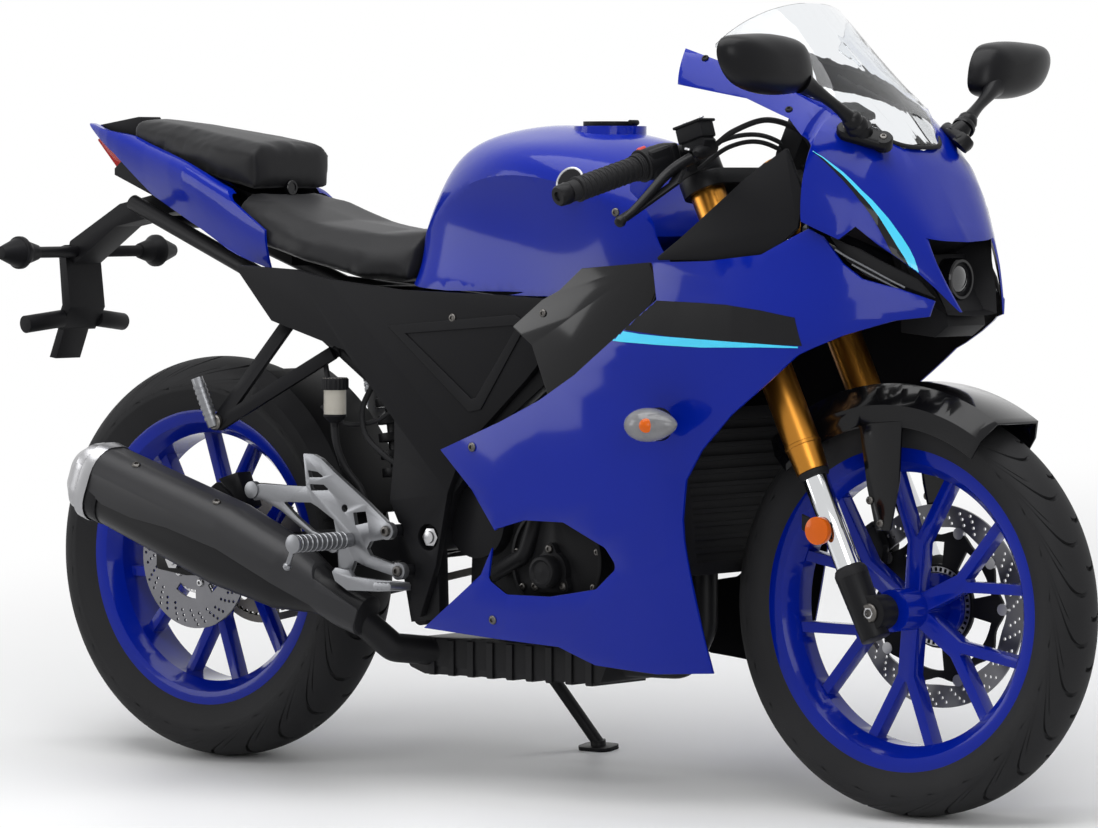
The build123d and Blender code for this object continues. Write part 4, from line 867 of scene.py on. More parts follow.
class BIKE_OT_seats(bpy.types.Operator):
    """Padded seat covers, swollen by a cloth simulation over their foam"""
    bl_idname = "bike.seats"
    bl_label = "Seats"

    LAST_FRAME = 20

    def cover(self, context, node):
        """A seat remeshed from its foam, pushed out by the cloth and smoothed."""
        name = node + "_cover"
        sizes = context.scene.bike_sizes
        data = frame["nodes"][node].data.copy()
        data.name = name
        thing = bpy.data.objects.new(name, data)
        context.scene.collection.objects.link(thing)
        data.materials.clear()
        data.materials.append(seat_vinyl())
        context.view_layer.objects.active = thing
        remesh = thing.modifiers.new("remesh", "REMESH")
        remesh.mode = "VOXEL"
        remesh.voxel_size = sizes.seat_voxel
        self.bake(context, thing)
        rest = [v.co.copy() for v in thing.data.vertices]
        cloth = thing.modifiers.new("cloth", "CLOTH")
        cloth.settings.use_pressure = True
        cloth.settings.uniform_pressure_force = sizes.seat_pressure
        cloth.settings.effector_weights.gravity = 0.0
        cloth.point_cache.frame_start = 1
        cloth.point_cache.frame_end = self.LAST_FRAME
        for number in range(1, self.LAST_FRAME + 1):
            context.scene.frame_set(number)
        self.bake(context, thing)
        context.scene.frame_set(1)
        for vertex, old in zip(thing.data.vertices, rest):
            move = vertex.co - old
            if move.length > sizes.seat_swell:
                vertex.co = old + move.normalized() * sizes.seat_swell
        smooth = thing.modifiers.new("ease", "SMOOTH")
        smooth.factor = 0.5
        smooth.iterations = 6
        self.bake(context, thing)
        thing.data.shade_smooth()
        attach(thing, "chassis")
        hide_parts(node)

    def bake(self, context, thing):
        """Replaces an object's mesh by what its modifiers make of it."""
        context.view_layer.update()
        made = bpy.data.meshes.new_from_object(thing.evaluated_get(context.evaluated_depsgraph_get()))
        thing.modifiers.clear()
        thing.data = made

    def execute(self, context):
        for node in ("rider_seat", "pillion_seat"):
            self.cover(context, node)
        return {"FINISHED"}


class BIKE_OT_decals(bpy.types.Operator):
    """Printed stripes on the fairings and the nose"""
    bl_idname = "bike.decals"
    bl_label = "Decals"

    BAND_TOP = [(986, 731.5), (1015, 733), (1097, 731), (1145, 729), (1204, 722), (1258, 712.5)]
    BAND_LOW = [(938, 694), (963, 690), (1040, 683), (1100, 679.5), (1204, 675), (1268, 673)]
    LINE_TOP = [(936, 691), (991, 685), (1040, 682), (1101, 679.5), (1204, 675), (1262, 672)]
    LINE_LOW = [(922, 676), (958, 673), (1028, 670), (1101, 668), (1203, 670), (1262, 670)]
    NOSE_TOP = [(1267.8, 945.8), (1282, 936.7), (1295.4, 926.2), (1308.7, 915.7), (1322.2, 902.4),
                (1334.8, 889.3), (1346.1, 876.6), (1356.9, 862.6), (1364.6, 851.5), (1372.5, 838.2),
                (1380.3, 824.9), (1388.4, 809), (1393.7, 795.6), (1397, 783.5), (1398.5, 776.1)]
    NOSE_MID = [(1268.4, 944.8), (1282.6, 934.9), (1296, 923), (1309.6, 911), (1323.2, 896.4),
                (1335.8, 882.4), (1345.8, 868.9), (1356, 853.6), (1364, 838.2), (1371.2, 824.2),
                (1378.2, 809.6), (1384.6, 796.4), (1389.6, 783.5), (1393.5, 775)]
    NOSE_LOW = [(1284, 931.4), (1297.3, 918.5), (1311.5, 903.9), (1325.2, 887.8), (1337.7, 871.6),
                (1347.1, 857.1), (1357, 839), (1364.9, 820.8), (1370.4, 806.9), (1374.6, 795),
                (1377.6, 785)]

    def printed(self, name, node, upper, lower, material, lift):
        """A decal on both sides of a node."""
        skin = skin_of(node)
        mesh = bmesh.new()
        both_sides(lambda side: film(mesh, skin, upper, lower, side, lift))
        piece(name, mesh, "chassis", material, node)

    def execute(self, context):
        low = context.scene.bike_sizes.decal_lift / MM
        high = low * 1.5
        self.printed("fairing_band", "side_fairings", self.BAND_TOP, self.BAND_LOW, grey_print(), low)
        self.printed("fairing_line", "side_fairings", self.LINE_TOP, self.LINE_LOW, bright_print(), high)
        self.printed("nose_line", "upper_cowl", self.NOSE_TOP, self.NOSE_MID, bright_print(), high)
        self.printed("nose_band", "upper_cowl", self.NOSE_MID, self.NOSE_LOW, grey_print(), low)
        return {"FINISHED"}


class BIKE_OT_brake_discs(bpy.types.Operator):
    """Drilled brake discs on their carriers, with buttons, bolts and speed sensor rings"""
    bl_idname = "bike.brake_discs"
    bl_label = "Brake discs"

    FRONT_Y = 60
    REAR_Y = -72
    HUB_HOLE = round_loop(26, 36)
    BORE = 2.6
    SLOTS = 40
    SPOKES = 5
    BUTTONS = 10

    def drilled(self, radii, count, sweep):
        """Bores in rows that lean back as they go out."""
        bores = []
        for i in range(count):
            for j, radius in enumerate(radii[i % 2]):
                angle = math.radians(360 * i / count + sweep * j)
                spot = (radius * math.cos(angle), radius * math.sin(angle))
                bores.append(round_loop(self.BORE, 10, centre=spot))
        return bores

    def windows(self, inner, outer, start, end, steps):
        """Openings between the spokes, from their radii and the angles of the first one."""
        turns = [360 / self.SPOKES * i for i in range(self.SPOKES)]
        return [sector(inner, outer, turn + start, turn + end, steps) for turn in turns]

    def round_axle(self, axle, y, radius, count):
        """Places evenly round an axle."""
        turns = [math.radians(360 / count * i) for i in range(count)]
        return [axle + Vector((math.cos(turn) * radius, y, math.sin(turn) * radius)) for turn in turns]

    def sensor_ring(self, end, axle, y, outer, inner):
        """The slotted ring that the speed sensor reads."""
        middle = (outer + inner) / 2
        pitch = 360 / self.SLOTS
        holes = [round_loop(inner, 72)]
        for i in range(self.SLOTS):
            holes.append(sector(middle - 3, middle + 3, pitch * i, pitch * i + pitch / 1.8, 1))
        mesh = bmesh.new()
        flat(mesh, round_loop(outer, 72), holes, across(axle + Vector((0, y, 0))), 1.6)
        piece(end + "_sensor_ring", mesh, end + "_wheel", plated_steel(), end + "_disc")

    def front(self):
        """A waved rotor with its carrier, buttons and bolts."""
        place = across(FRONT_AXLE + Vector((0, self.FRONT_Y, 0)))
        mesh = bmesh.new()
        bores = self.drilled(((121, 128, 135, 141), (124.5, 131.5, 138)), 36, 2.6)
        inside = round_loop(115, 120, 2.0, self.BUTTONS)
        flat(mesh, round_loop(146, 120), [inside] + bores, place, 4.0)
        rotor = piece("front_rotor", mesh, "front_wheel", ground_steel(), "front_disc")
        mesh = bmesh.new()
        outside = round_loop(107, 120, 5.0, self.BUTTONS)
        flat(mesh, outside, self.windows(60, 93, 12, 60, 6) + [self.HUB_HOLE], place, 5.0, 0.5)
        carrier = piece("front_disc_carrier", mesh, "front_wheel", satin_black(), "front_disc")
        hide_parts("front_disc")
        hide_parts("front_disc")
        mesh = bmesh.new()
        for spot in self.round_axle(FRONT_AXLE, self.FRONT_Y, 110.5, self.BUTTONS):
            turned(mesh, spot, -OUTWARD, [(-4.2, 4), (-4.2, 8.5), (4.2, 8.5), (4.2, 4)], 20)
        for spot in self.round_axle(FRONT_AXLE, self.FRONT_Y + 2.5, 42, self.SPOKES):
            screw(mesh, spot, -OUTWARD, 6.5)
        piece("front_disc_buttons", mesh, "front_wheel", plated_steel(), "front_disc")
        self.sensor_ring("front", FRONT_AXLE, self.FRONT_Y - 6, 57, 49)

    def rear(self):
        """A rotor in one piece with its bolts."""
        place = across(REAR_AXLE + Vector((0, self.REAR_Y, 0)))
        mesh = bmesh.new()
        holes = self.drilled(((83, 90, 97, 104), (86.5, 93.5, 100.5)), 30, 3.2)
        holes += self.windows(50, 64, 16, 56, 4) + [self.HUB_HOLE]
        flat(mesh, round_loop(110, 110), holes, place, 4.0)
        rotor = piece("rear_rotor", mesh, "rear_wheel", ground_steel(), "rear_disc")
        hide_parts("rear_disc")
        mesh = bmesh.new()
        for spot in self.round_axle(REAR_AXLE, self.REAR_Y - 2, 40, self.SPOKES):
            screw(mesh, spot, OUTWARD, 6.5)
        piece("rear_disc_bolts", mesh, "rear_wheel", plated_steel(), "rear_disc")
        self.sensor_ring("rear", REAR_AXLE, self.REAR_Y + 6, 56, 47)

    def execute(self, context):
        self.front()
        self.rear()
        return {"FINISHED"}


class BIKE_OT_fork_fittings(bpy.types.Operator):
    """Seals, rings, pinch bolts, axle ends and reflector straps of the fork"""
    bl_idname = "bike.fork_fittings"
    bl_label = "Fork fittings"

    # how far the axle and the legs lie in front of the steering axis
    AXLE_LEAD = 41.69
    LEG_LEAD = 27.0
    PINCH_DROPS = (-44, -24)
    STRAP = ((1238, 396), (1262, 398), (1264, 422), (1236, 424), (1214, 432), (1214, 410))
    STRAP_INNER, STRAP_OUTER = 119, 123

    # heights along the steering axis
    DUST_SEAL, LOWER_SEAL, RING = 223, 62, 264

    def on_fork(self, height, side):
        """A place on a fork leg, from its height along the steering axis."""
        foot = FRONT_AXLE - FORK_FORWARD * self.AXLE_LEAD
        return foot + FORK_WAY * height + FORK_FORWARD * self.LEG_LEAD + OUTWARD * (side * FORK_OUT)

    def execute(self, context):
        seals, rings, bolts, straps = meshes(4)

        def fit(side):
            out = OUTWARD * side
            turned(seals, self.on_fork(self.DUST_SEAL, side), FORK_WAY,
                   [(-9, 18.5), (-9, 21), (-6, 22.5), (-1, 22.8), (0.5, 21.5), (0.5, 18.5)], 40)
            turned(seals, self.on_fork(self.LOWER_SEAL, side), FORK_WAY,
                   [(-2, 24.3), (6, 24.3), (12, 21.5), (14, 19), (14, 18)], 40)
            turned(rings, self.on_fork(self.RING, side), FORK_WAY,
                   [(-3, 26.2), (-2.2, 27.2), (2.2, 27.2), (3, 26.2)], 48, capped=False)
            turned(bolts, FRONT_AXLE + out * (FORK_OUT + 13.5), out,
                   [(-2, 14), (3, 14), (5, 12.5), (5, 7.5, "hex"), (-1, 7.2, "hex")], 30)
            for drop in self.PINCH_DROPS:
                spot = FRONT_AXLE + FORK_WAY * drop - FORK_FORWARD * 14 + out * (FORK_OUT + 6)
                screw(bolts, spot, -FORK_FORWARD, 5)
            slab(straps, self.STRAP, side * self.STRAP_INNER, side * self.STRAP_OUTER, 0.8)

        both_sides(fit)
        piece("fork_seals", seals, "steering", soft_rubber(), "fork_legs")
        piece("fork_rings", rings, "steering", gold_anodised(), "fork_tubes")
        piece("fork_bolts", bolts, "steering", dark_steel(), "fork_legs")
        piece("reflector_straps", straps, "steering", satin_black(), "fork_reflectors")
        return {"FINISHED"}


class BIKE_OT_bar_fittings(bpy.types.Operator):
    """Patterned grips, bar ends, switch pods, brake cylinder, levers and hoses"""
    bl_idname = "bike.bar_fittings"
    bl_label = "Handlebar fittings"

    # the grip's pattern: where it starts, its share of the bar, and its radius
    PATTERN_START, PATTERN_SHARE, PATTERN_RADIUS = 0.43, 0.47, 17.0
    PATTERN_STEPS, PATTERN_TURN = 60, math.pi / 6
    # collars along the bar: (share of the bar, radius)
    COLLARS = ((0.365, 24), (0.385, 20.5), (0.4, 20), (0.415, 19.5), (0.92, 18.6))
    # places along the bar, as shares of it
    POD, POD_COLLAR, KILL_SWITCH, STARTER = 0.25, 0.12, 0.27, 0.24
    RIDER_WAY = Vector((-1, 0, 0))
    # from the bar's middle to each button on the pods
    KILL_REACH, STARTER_REACH = Vector((-20, 0, 16)), Vector((-21, 0, -6))
    BUTTON_REACHES = (Vector((-21, 0, 14)), Vector((-21, 0, 0)), Vector((-21, 0, -12)))
    # places as (x, out, z)
    TANK = (1061, 171, 972)
    TANK_WAY = (1, 0, 0.3)
    PUMP = (1072, 156, 950)
    PIVOT = (1058, 184, 948)
    LEVER = ((1071, 196, 935), (1067, 226, 922), (1068, 254, 908), (1066, 286, 884), (1062, 318, 860),
             (1060, 340, 848))
    LEVER_TIP = (1060, 342, 847)
    HOSE = ((1080, 150, 954), (1108, 140, 975), (1150, 118, 990), (1190, 92, 972), (1206, 74, 930),
            (1204, 62, 880))
    CABLES = (((1040, 150, 930), (1080, 128, 962), (1124, 96, 968), (1160, 60, 940), (1168, 30, 900)),
              ((1040, 138, 920), (1080, 116, 952), (1124, 96, 958), (1160, 60, 930), (1168, 30, 890)))

    def grip(self, rubber, ends, along, way):
        """Crossing ribs round a grip, its collars and the bar's end."""
        for hand in (1, -1):
            for start in (0.0, math.pi):
                coil = []
                for i in range(self.PATTERN_STEPS + 1):
                    angle = start + hand * i * self.PATTERN_TURN
                    coil.append(along(self.PATTERN_START + self.PATTERN_SHARE * i / self.PATTERN_STEPS,
                                      self.PATTERN_RADIUS * math.cos(angle),
                                      self.PATTERN_RADIUS * math.sin(angle)))
                tube(rubber, coil, 1.1, 8, 2)
        for share, radius in self.COLLARS:
            turned(rubber, along(share), way,
                   [(-1.6, 15), (-1.6, radius - 0.6), (-1, radius), (1, radius), (1.6, radius - 0.6),
                    (1.6, 15)], 36)
        turned(ends, along(1.0), way,
               [(-1, 13), (0.5, 15), (3, 16), (17, 15), (20, 13), (20, 7), (17, 6)], 36)

    def pod(self, pods, red, along, way, side):
        """The switch pod, with its kill switch and starter on the right and three buttons on the left."""
        brick(pods, along(self.POD, 0, 2), way, UP, (40, 42, 44), 8)
        brick(pods, along(self.POD_COLLAR), way, UP, (16, 38, 38), 7)
        if side > 0:
            brick(red, along(self.KILL_SWITCH) + self.KILL_REACH, way, (-0.7, 0, 1), (15, 11, 9), 2.5)
            brick(pods, along(self.STARTER) + self.STARTER_REACH, way, self.RIDER_WAY, (20, 12, 6), 2.5)
            return
        for reach in self.BUTTON_REACHES:
            brick(pods, along(self.POD) + reach, way, self.RIDER_WAY, (18, 8, 6), 2.2)

    def cylinder(self, pods, screws, side):
        """The fluid tank with its lid, the pump under it and the lever's pivot."""
        tank, pump, pivot = route((self.TANK, self.PUMP, self.PIVOT), side)
        brick(pods, tank, self.TANK_WAY, UP, (46, 34, 24), 4)
        brick(pods, tank + Vector((-3, 0, 12)), self.TANK_WAY, UP, (50, 38, 4), 1.5)
        for step in (-15, 15):
            screw(screws, tank + Vector((step - 4, 0, 17.5 + step * 0.3)), (-0.29, 0, 0.96), 3.4, 1.6)
        turned(pods, pump, (0.25, -side, -0.2),
               [(-14, 8), (-12, 11), (30, 11), (34, 9), (40, 7), (44, 4)], 28)
        screw(screws, pivot, (0.2, 0, 1), 6, 3)

    def execute(self, context):
        rubber, ends, pods, red, hoses, screws, levers = meshes(7)

        def fit(side):
            inner = Vector((BAR_INNER.x, BAR_INNER.y * side, BAR_INNER.z))
            run = Vector((BAR_END.x, BAR_END.y * side, BAR_END.z)) - inner
            way, across_bar, lift = frame_of(run)

            def along(share, forward=0.0, up=0.0):
                return inner + run * share + across_bar * forward + lift * up

            self.grip(rubber, ends, along, way)
            self.pod(pods, red, along, way, side)
            self.cylinder(pods, screws, side)
            tube(levers, route(self.LEVER, side), lambda share: 8.5 - 3 * share, 14, 6)
            turned(levers, route([self.LEVER_TIP], side)[0], (0, -side, -0.6),
                   [(-8, 3), (-5, 7), (0, 8.5), (5, 7), (8, 2)], 24)
            tube(hoses, route(self.HOSE, side), 4.2, 12, 10)

        both_sides(fit)
        for cable in self.CABLES:
            tube(hoses, route(cable), 3.4, 12, 10)
        piece("grip_patterns", rubber, "steering", soft_rubber(), "grips")
        piece("bar_ends", ends, "steering", satin_black(), "grips")
        piece("control_pods", pods, "steering", moulded_black(), "hand_controls")
        piece("lever_grips", levers, "steering", mirror_black(), "hand_controls")
        piece("kill_switch", red, "steering", red_plastic(), "hand_controls")
        piece("brake_hoses", hoses, "steering", soft_rubber(), "hand_controls")
        piece("control_screws", screws, "steering", plated_steel(), "hand_controls")
        return {"FINISHED"}


class BIKE_OT_silencer_fittings(bpy.types.Operator):
    """Seam band, sleeve and mouth of the silencer, and the canister's ribs"""
    bl_idname = "bike.silencer_fittings"
    bl_label = "Silencer fittings"

    # each ring of the band and of the sleeve: (how far along, width, height)
    BAND = ((548, 98, 116), (550, 100, 118), (588.5, 100, 118), (590.5, 98, 116))
    SLEEVE = ((PIPE_LENGTH - 20, 105, 123), (PIPE_LENGTH - 18, 107, 125), (PIPE_LENGTH - 2, 106, 124),
              (PIPE_LENGTH + 1, 99, 117), (PIPE_LENGTH + 1, 90, 106))
    CORNER = 0.42
    MOUTH = 34
    MOUTH_GROOVES = (-20, -14, -8)
    RIBS = 9
    RIB_PITCH, RIB_WIDTH = 38, 12
    CANISTER_REAR = 470

    def section(self, distance, width, height):
        """Points round a rounded rectangle across the silencer."""
        side, lift = frame_of(PIPE_WAY)[1:]
        middle = PIPE_FRONT + PIPE_WAY * distance
        radius = min(width, height) * self.CORNER
        points = []
        for cx, cy, first in ((1, 1, 0), (-1, 1, 90), (-1, -1, 180), (1, -1, 270)):
            for step in range(7):
                angle = math.radians(first + 15 * step)
                points.append(middle + side * (cx * (width / 2 - radius) + radius * math.cos(angle))
                              + lift * (cy * (height / 2 - radius) + radius * math.sin(angle)))
        return points

    def sheath(self, name, rings, material, slot):
        """A sheet wrapped round the silencer."""
        mesh = bmesh.new()
        skinned(mesh, [self.section(*ring) for ring in rings], capped=False)
        piece(name, mesh, "chassis", material, slot)

    def execute(self, context):
        self.sheath("silencer_bands", self.BAND, heat_black(), "exhaust")
        self.sheath("silencer_sleeve", self.SLEEVE, cap_silver(), "silencer_cap")
        mouth = bmesh.new()
        end = PIPE_FRONT + PIPE_WAY * (PIPE_LENGTH + self.MOUTH)
        turned(mouth, end, PIPE_WAY, [(-26, 19.5), (-1, 19.5), (0.6, 21), (0.6, 25), (-0.5, 26.5)], 40,
               capped=False)
        for depth in self.MOUTH_GROOVES:
            turned(mouth, end, PIPE_WAY, [(depth - 1, 19.6), (depth, 17.6), (depth + 1, 19.6)], 40,
                   capped=False)
        turned(mouth, end, PIPE_WAY, [(-29, 0.5), (-29, 20)], 40, capped=False)
        piece("silencer_mouth", mouth, "chassis", heat_black(), "silencer_cap")
        ribs = bmesh.new()
        for i in range(self.RIBS):
            x = self.CANISTER_REAR + self.RIB_PITCH * i
            far = x + self.RIB_WIDTH
            slab(ribs, [(x, 158.5), (far, 158.5), (far, 212), (x, 212)], 60, 64, 1.2)
            slab(ribs, [(x, 157.5), (far, 157.5), (far, 161), (x, 161)], -66, 62)
        piece("canister_ribs", ribs, "chassis", heat_black(), "exhaust")
        return {"FINISHED"}


class BIKE_OT_foot_fittings(bpy.types.Operator):
    """Bracket bolts, ribbed pegs, reservoir cap and hoses"""
    bl_idname = "bike.foot_fittings"
    bl_label = "Foot control fittings"

    BRACKET_OUT = 169
    BRACKET_BOLTS = ((477, 380), (500, 321))
    BRACKET_NUT = (370, 356)
    # the rider's peg, its ribs and its feeler, as x, out and z
    PEG_X, PEG_ROOT, PEG_Z = 402, 184, 364
    PEG_RIBS, PEG_PITCH = 10, 11
    FEELER = (382, 284, 330)
    PASSENGER_PEG = ((146, 188, 528), (122, 200, 602))
    PEG_BOLT = (148, 190, 534)
    PASSENGER_RIBS = 7
    RESERVOIR_X, RESERVOIR_OUT, RESERVOIR_Z = 359, 150, 588
    # the reservoir's cap: (height, radius)
    CAP = ((0, 19.2), (0.5, 20.2), (16, 20.2), (18.5, 18.5), (19, 8))
    CAP_TEETH = 24
    # each hose: (its places as x, out and z; its radius)
    HOSES = ((((359, 150, 536), (360, 147, 505), (368, 136, 470), (388, 126, 440), (398, 124, 415)), 5.2),
             (((300, 108, 640), (318, 118, 596), (334, 126, 560), (338, 128, 515), (352, 124, 470)), 4.2),
             (((410, 118, 600), (392, 124, 560), (400, 126, 520), (436, 124, 490), (470, 118, 470)), 4.5),
             (((300, 112, 560), (350, 118, 536), (410, 120, 540), (450, 116, 560)), 3.6))

    def pegs(self, ribs, side):
        """Ribs of the rider's and the passenger's pegs, and the feeler."""
        out = OUTWARD * side
        for step in range(self.PEG_RIBS):
            spot = at(self.PEG_X, side * (self.PEG_ROOT + self.PEG_PITCH * step), self.PEG_Z)
            turned(ribs, spot, out,
                   [(-3, 10.6), (-3, 12.6), (-2, 13.4), (2, 13.4), (3, 12.6), (3, 10.6)], 28)
        end = self.PEG_ROOT + self.PEG_PITCH * self.PEG_RIBS - 3
        turned(ribs, at(self.PEG_X, side * end, self.PEG_Z), out,
               [(-2, 13), (1, 14.5), (4, 14), (5, 11), (5.5, 3)], 28)
        turned(ribs, route([self.FEELER], side)[0], (-0.4, 0, -1),
               [(-4, 4), (-2, 6.4), (3, 6.6), (6, 4), (6.5, 0.6)], 20)
        low, high = route(self.PASSENGER_PEG, side)
        way = (high - low).normalized()
        for step in range(self.PASSENGER_RIBS):
            turned(ribs, low + way * (14 + 8.5 * step), way,
                   [(-2.4, 8.6), (-2.4, 10.2), (2.4, 10.2), (2.4, 8.6)], 24)

    def bolts(self, mesh, side):
        """Bolts and nut of the rider's foot bracket, and the bolt of the passenger's peg."""
        out = OUTWARD * side
        for x, z in self.BRACKET_BOLTS:
            screw(mesh, at(x, side * self.BRACKET_OUT, z), out, 8.5, 6)
        x, z = self.BRACKET_NUT
        hex_nut(mesh, at(x, side * self.BRACKET_OUT, z), out, 6, 5)
        turned(mesh, route([self.PEG_BOLT], side)[0], out,
               [(-6, 12), (-1, 12), (1, 10), (1, 5, "hex"), (-1, 5, "hex")], 24)

    def reservoir(self):
        """Toothed cap of the brake fluid reservoir and the outlet under it."""
        cap = bmesh.new()
        points = self.CAP_TEETH * 3
        serrated = []
        for lift, radius in self.CAP:
            row = []
            for i in range(points):
                angle = 2 * math.pi * i / points
                reach = radius + (0.7 if i % 3 == 0 and 0 < lift < 17 else 0.0)
                row.append(at(self.RESERVOIR_X + reach * math.cos(angle),
                              self.RESERVOIR_OUT - reach * math.sin(angle), self.RESERVOIR_Z + lift))
            serrated.append(row)
        skinned(cap, serrated)
        turned(cap, at(self.RESERVOIR_X, self.RESERVOIR_OUT, self.RESERVOIR_Z - 40), -UP,
               [(-3, 17.6), (0, 17.6), (6, 12), (10, 6), (16, 5.6)], 32)
        piece("reservoir_cap", cap, "chassis", moulded_black(), "brake_reservoir")

    def execute(self, context):
        bolts, ribs = meshes(2)

        def fit(side):
            self.bolts(bolts, side)
            self.pegs(ribs, side)

        both_sides(fit)
        piece("foot_bolts", bolts, "chassis", dark_steel(), "footrest_brackets")
        piece("peg_ribs", ribs, "chassis", brushed_aluminium(), "footpegs")
        self.reservoir()
        hose = bmesh.new()
        for places, radius in self.HOSES:
            tube(hose, route(places), radius)
        piece("rear_hoses", hose, "chassis", soft_rubber(), "brake_reservoir")
        return {"FINISHED"}


class BIKE_OT_engine_fittings(bpy.types.Operator):
    """Cover screws and cover rims of the engine"""
    bl_idname = "bike.engine_fittings"
    bl_label = "Engine fittings"

    COVER_X, COVER_OUT, COVER_Z = 760, 112, 345
    COVER_SCREWS, COVER_SCREW_CIRCLE = 9, 77
    CAP_SCREWS = ((755, 363), (728, 307), (781, 309))
    CAP_OUT = 124
    PUMP = (756, 136, 330)

    def execute(self, context):
        mesh = bmesh.new()
        for i in range(self.COVER_SCREWS):
            angle = math.radians(360 / self.COVER_SCREWS * i + 12)
            spot = at(self.COVER_X + self.COVER_SCREW_CIRCLE * math.cos(angle), self.COVER_OUT,
                      self.COVER_Z + self.COVER_SCREW_CIRCLE * math.sin(angle))
            screw(mesh, spot, OUTWARD, 5.5)
        for x, z in self.CAP_SCREWS:
            screw(mesh, at(x, self.CAP_OUT, z), OUTWARD, 6.5)
        piece("engine_screws", mesh, "chassis", dark_steel(), "engine")
        rim = bmesh.new()
        turned(rim, at(self.COVER_X, self.COVER_OUT, self.COVER_Z), OUTWARD,
               [(-1, 84), (0, 85.5), (3, 85.5), (4, 84), (4, 80), (0, 79)], 90, capped=False)
        turned(rim, at(*self.PUMP), OUTWARD,
               [(-6, 24.5), (6, 24.5), (10, 22), (11, 18), (8, 15), (8, 5), (9, 0.5)], 48)
        piece("engine_cover_rims", rim, "chassis", cast_grey(), "engine")
        return {"FINISHED"}


class BIKE_OT_indicator_lenses(bpy.types.Operator):
    """Lenses, bulbs and bodies of the indicators"""
    bl_idname = "bike.indicator_lenses"
    bl_label = "Indicator lenses"

    STEPS, SIDES = 18, 32
    # the front lens: its way, and its length, width and height
    LENS_WAY, LENS_SIZE = (1, 0, 0.03), (90, 57, 49)
    # places as (x, out, z)
    LENS = (1044, 250, 558)
    BULB = (1048, 265, 558)
    FRONT_BODY = (1041, 222, 558)
    REAR_BODY = (-298, 152, 789)

    def egg(self, mesh, centre):
        """A lens that is pointed behind and blunt in front."""
        length, width, height = self.LENS_SIZE
        way = Vector(self.LENS_WAY).normalized()
        side = -OUTWARD
        lift = way.cross(side).normalized()
        turns = [2 * math.pi * k / self.SIDES for k in range(self.SIDES)]
        rows = []
        for i in range(self.STEPS + 1):
            t = i / self.STEPS
            reach = max(0.02, math.sin(math.pi * t ** 0.8) ** 0.62)
            spot = centre + way * (t - 0.5) * length
            rows.append([spot + side * math.cos(turn) * reach * width / 2
                         + lift * math.sin(turn) * reach * height / 2 for turn in turns])
        skinned(mesh, rows)

    def execute(self, context):
        clear, amber, dark = meshes(3)

        def fit(side):
            out = OUTWARD * side
            lens, bulb, front, rear = route((self.LENS, self.BULB, self.FRONT_BODY, self.REAR_BODY), side)
            self.egg(clear, lens)
            turned(amber, bulb, (0.5, -side, 0), [(-6, 8), (6, 11), (11, 10), (14.5, 6), (15.5, 0.5)], 24)
            turned(dark, front, out, [(-12, 13), (-6, 17), (0, 19), (4, 17)], 32)
            turned(dark, rear, out, [(-22, 13), (-4, 22), (2, 26), (8, 26), (10, 24)], 32)

        both_sides(fit)
        piece("front_indicator_lenses", clear, "chassis", clear_lens(), "indicators")
        piece("indicator_bulbs", amber, "chassis", amber_lens(), "indicators")
        piece("indicator_bodies", dark, "chassis", moulded_black(), "indicators")
        return {"FINISHED"}


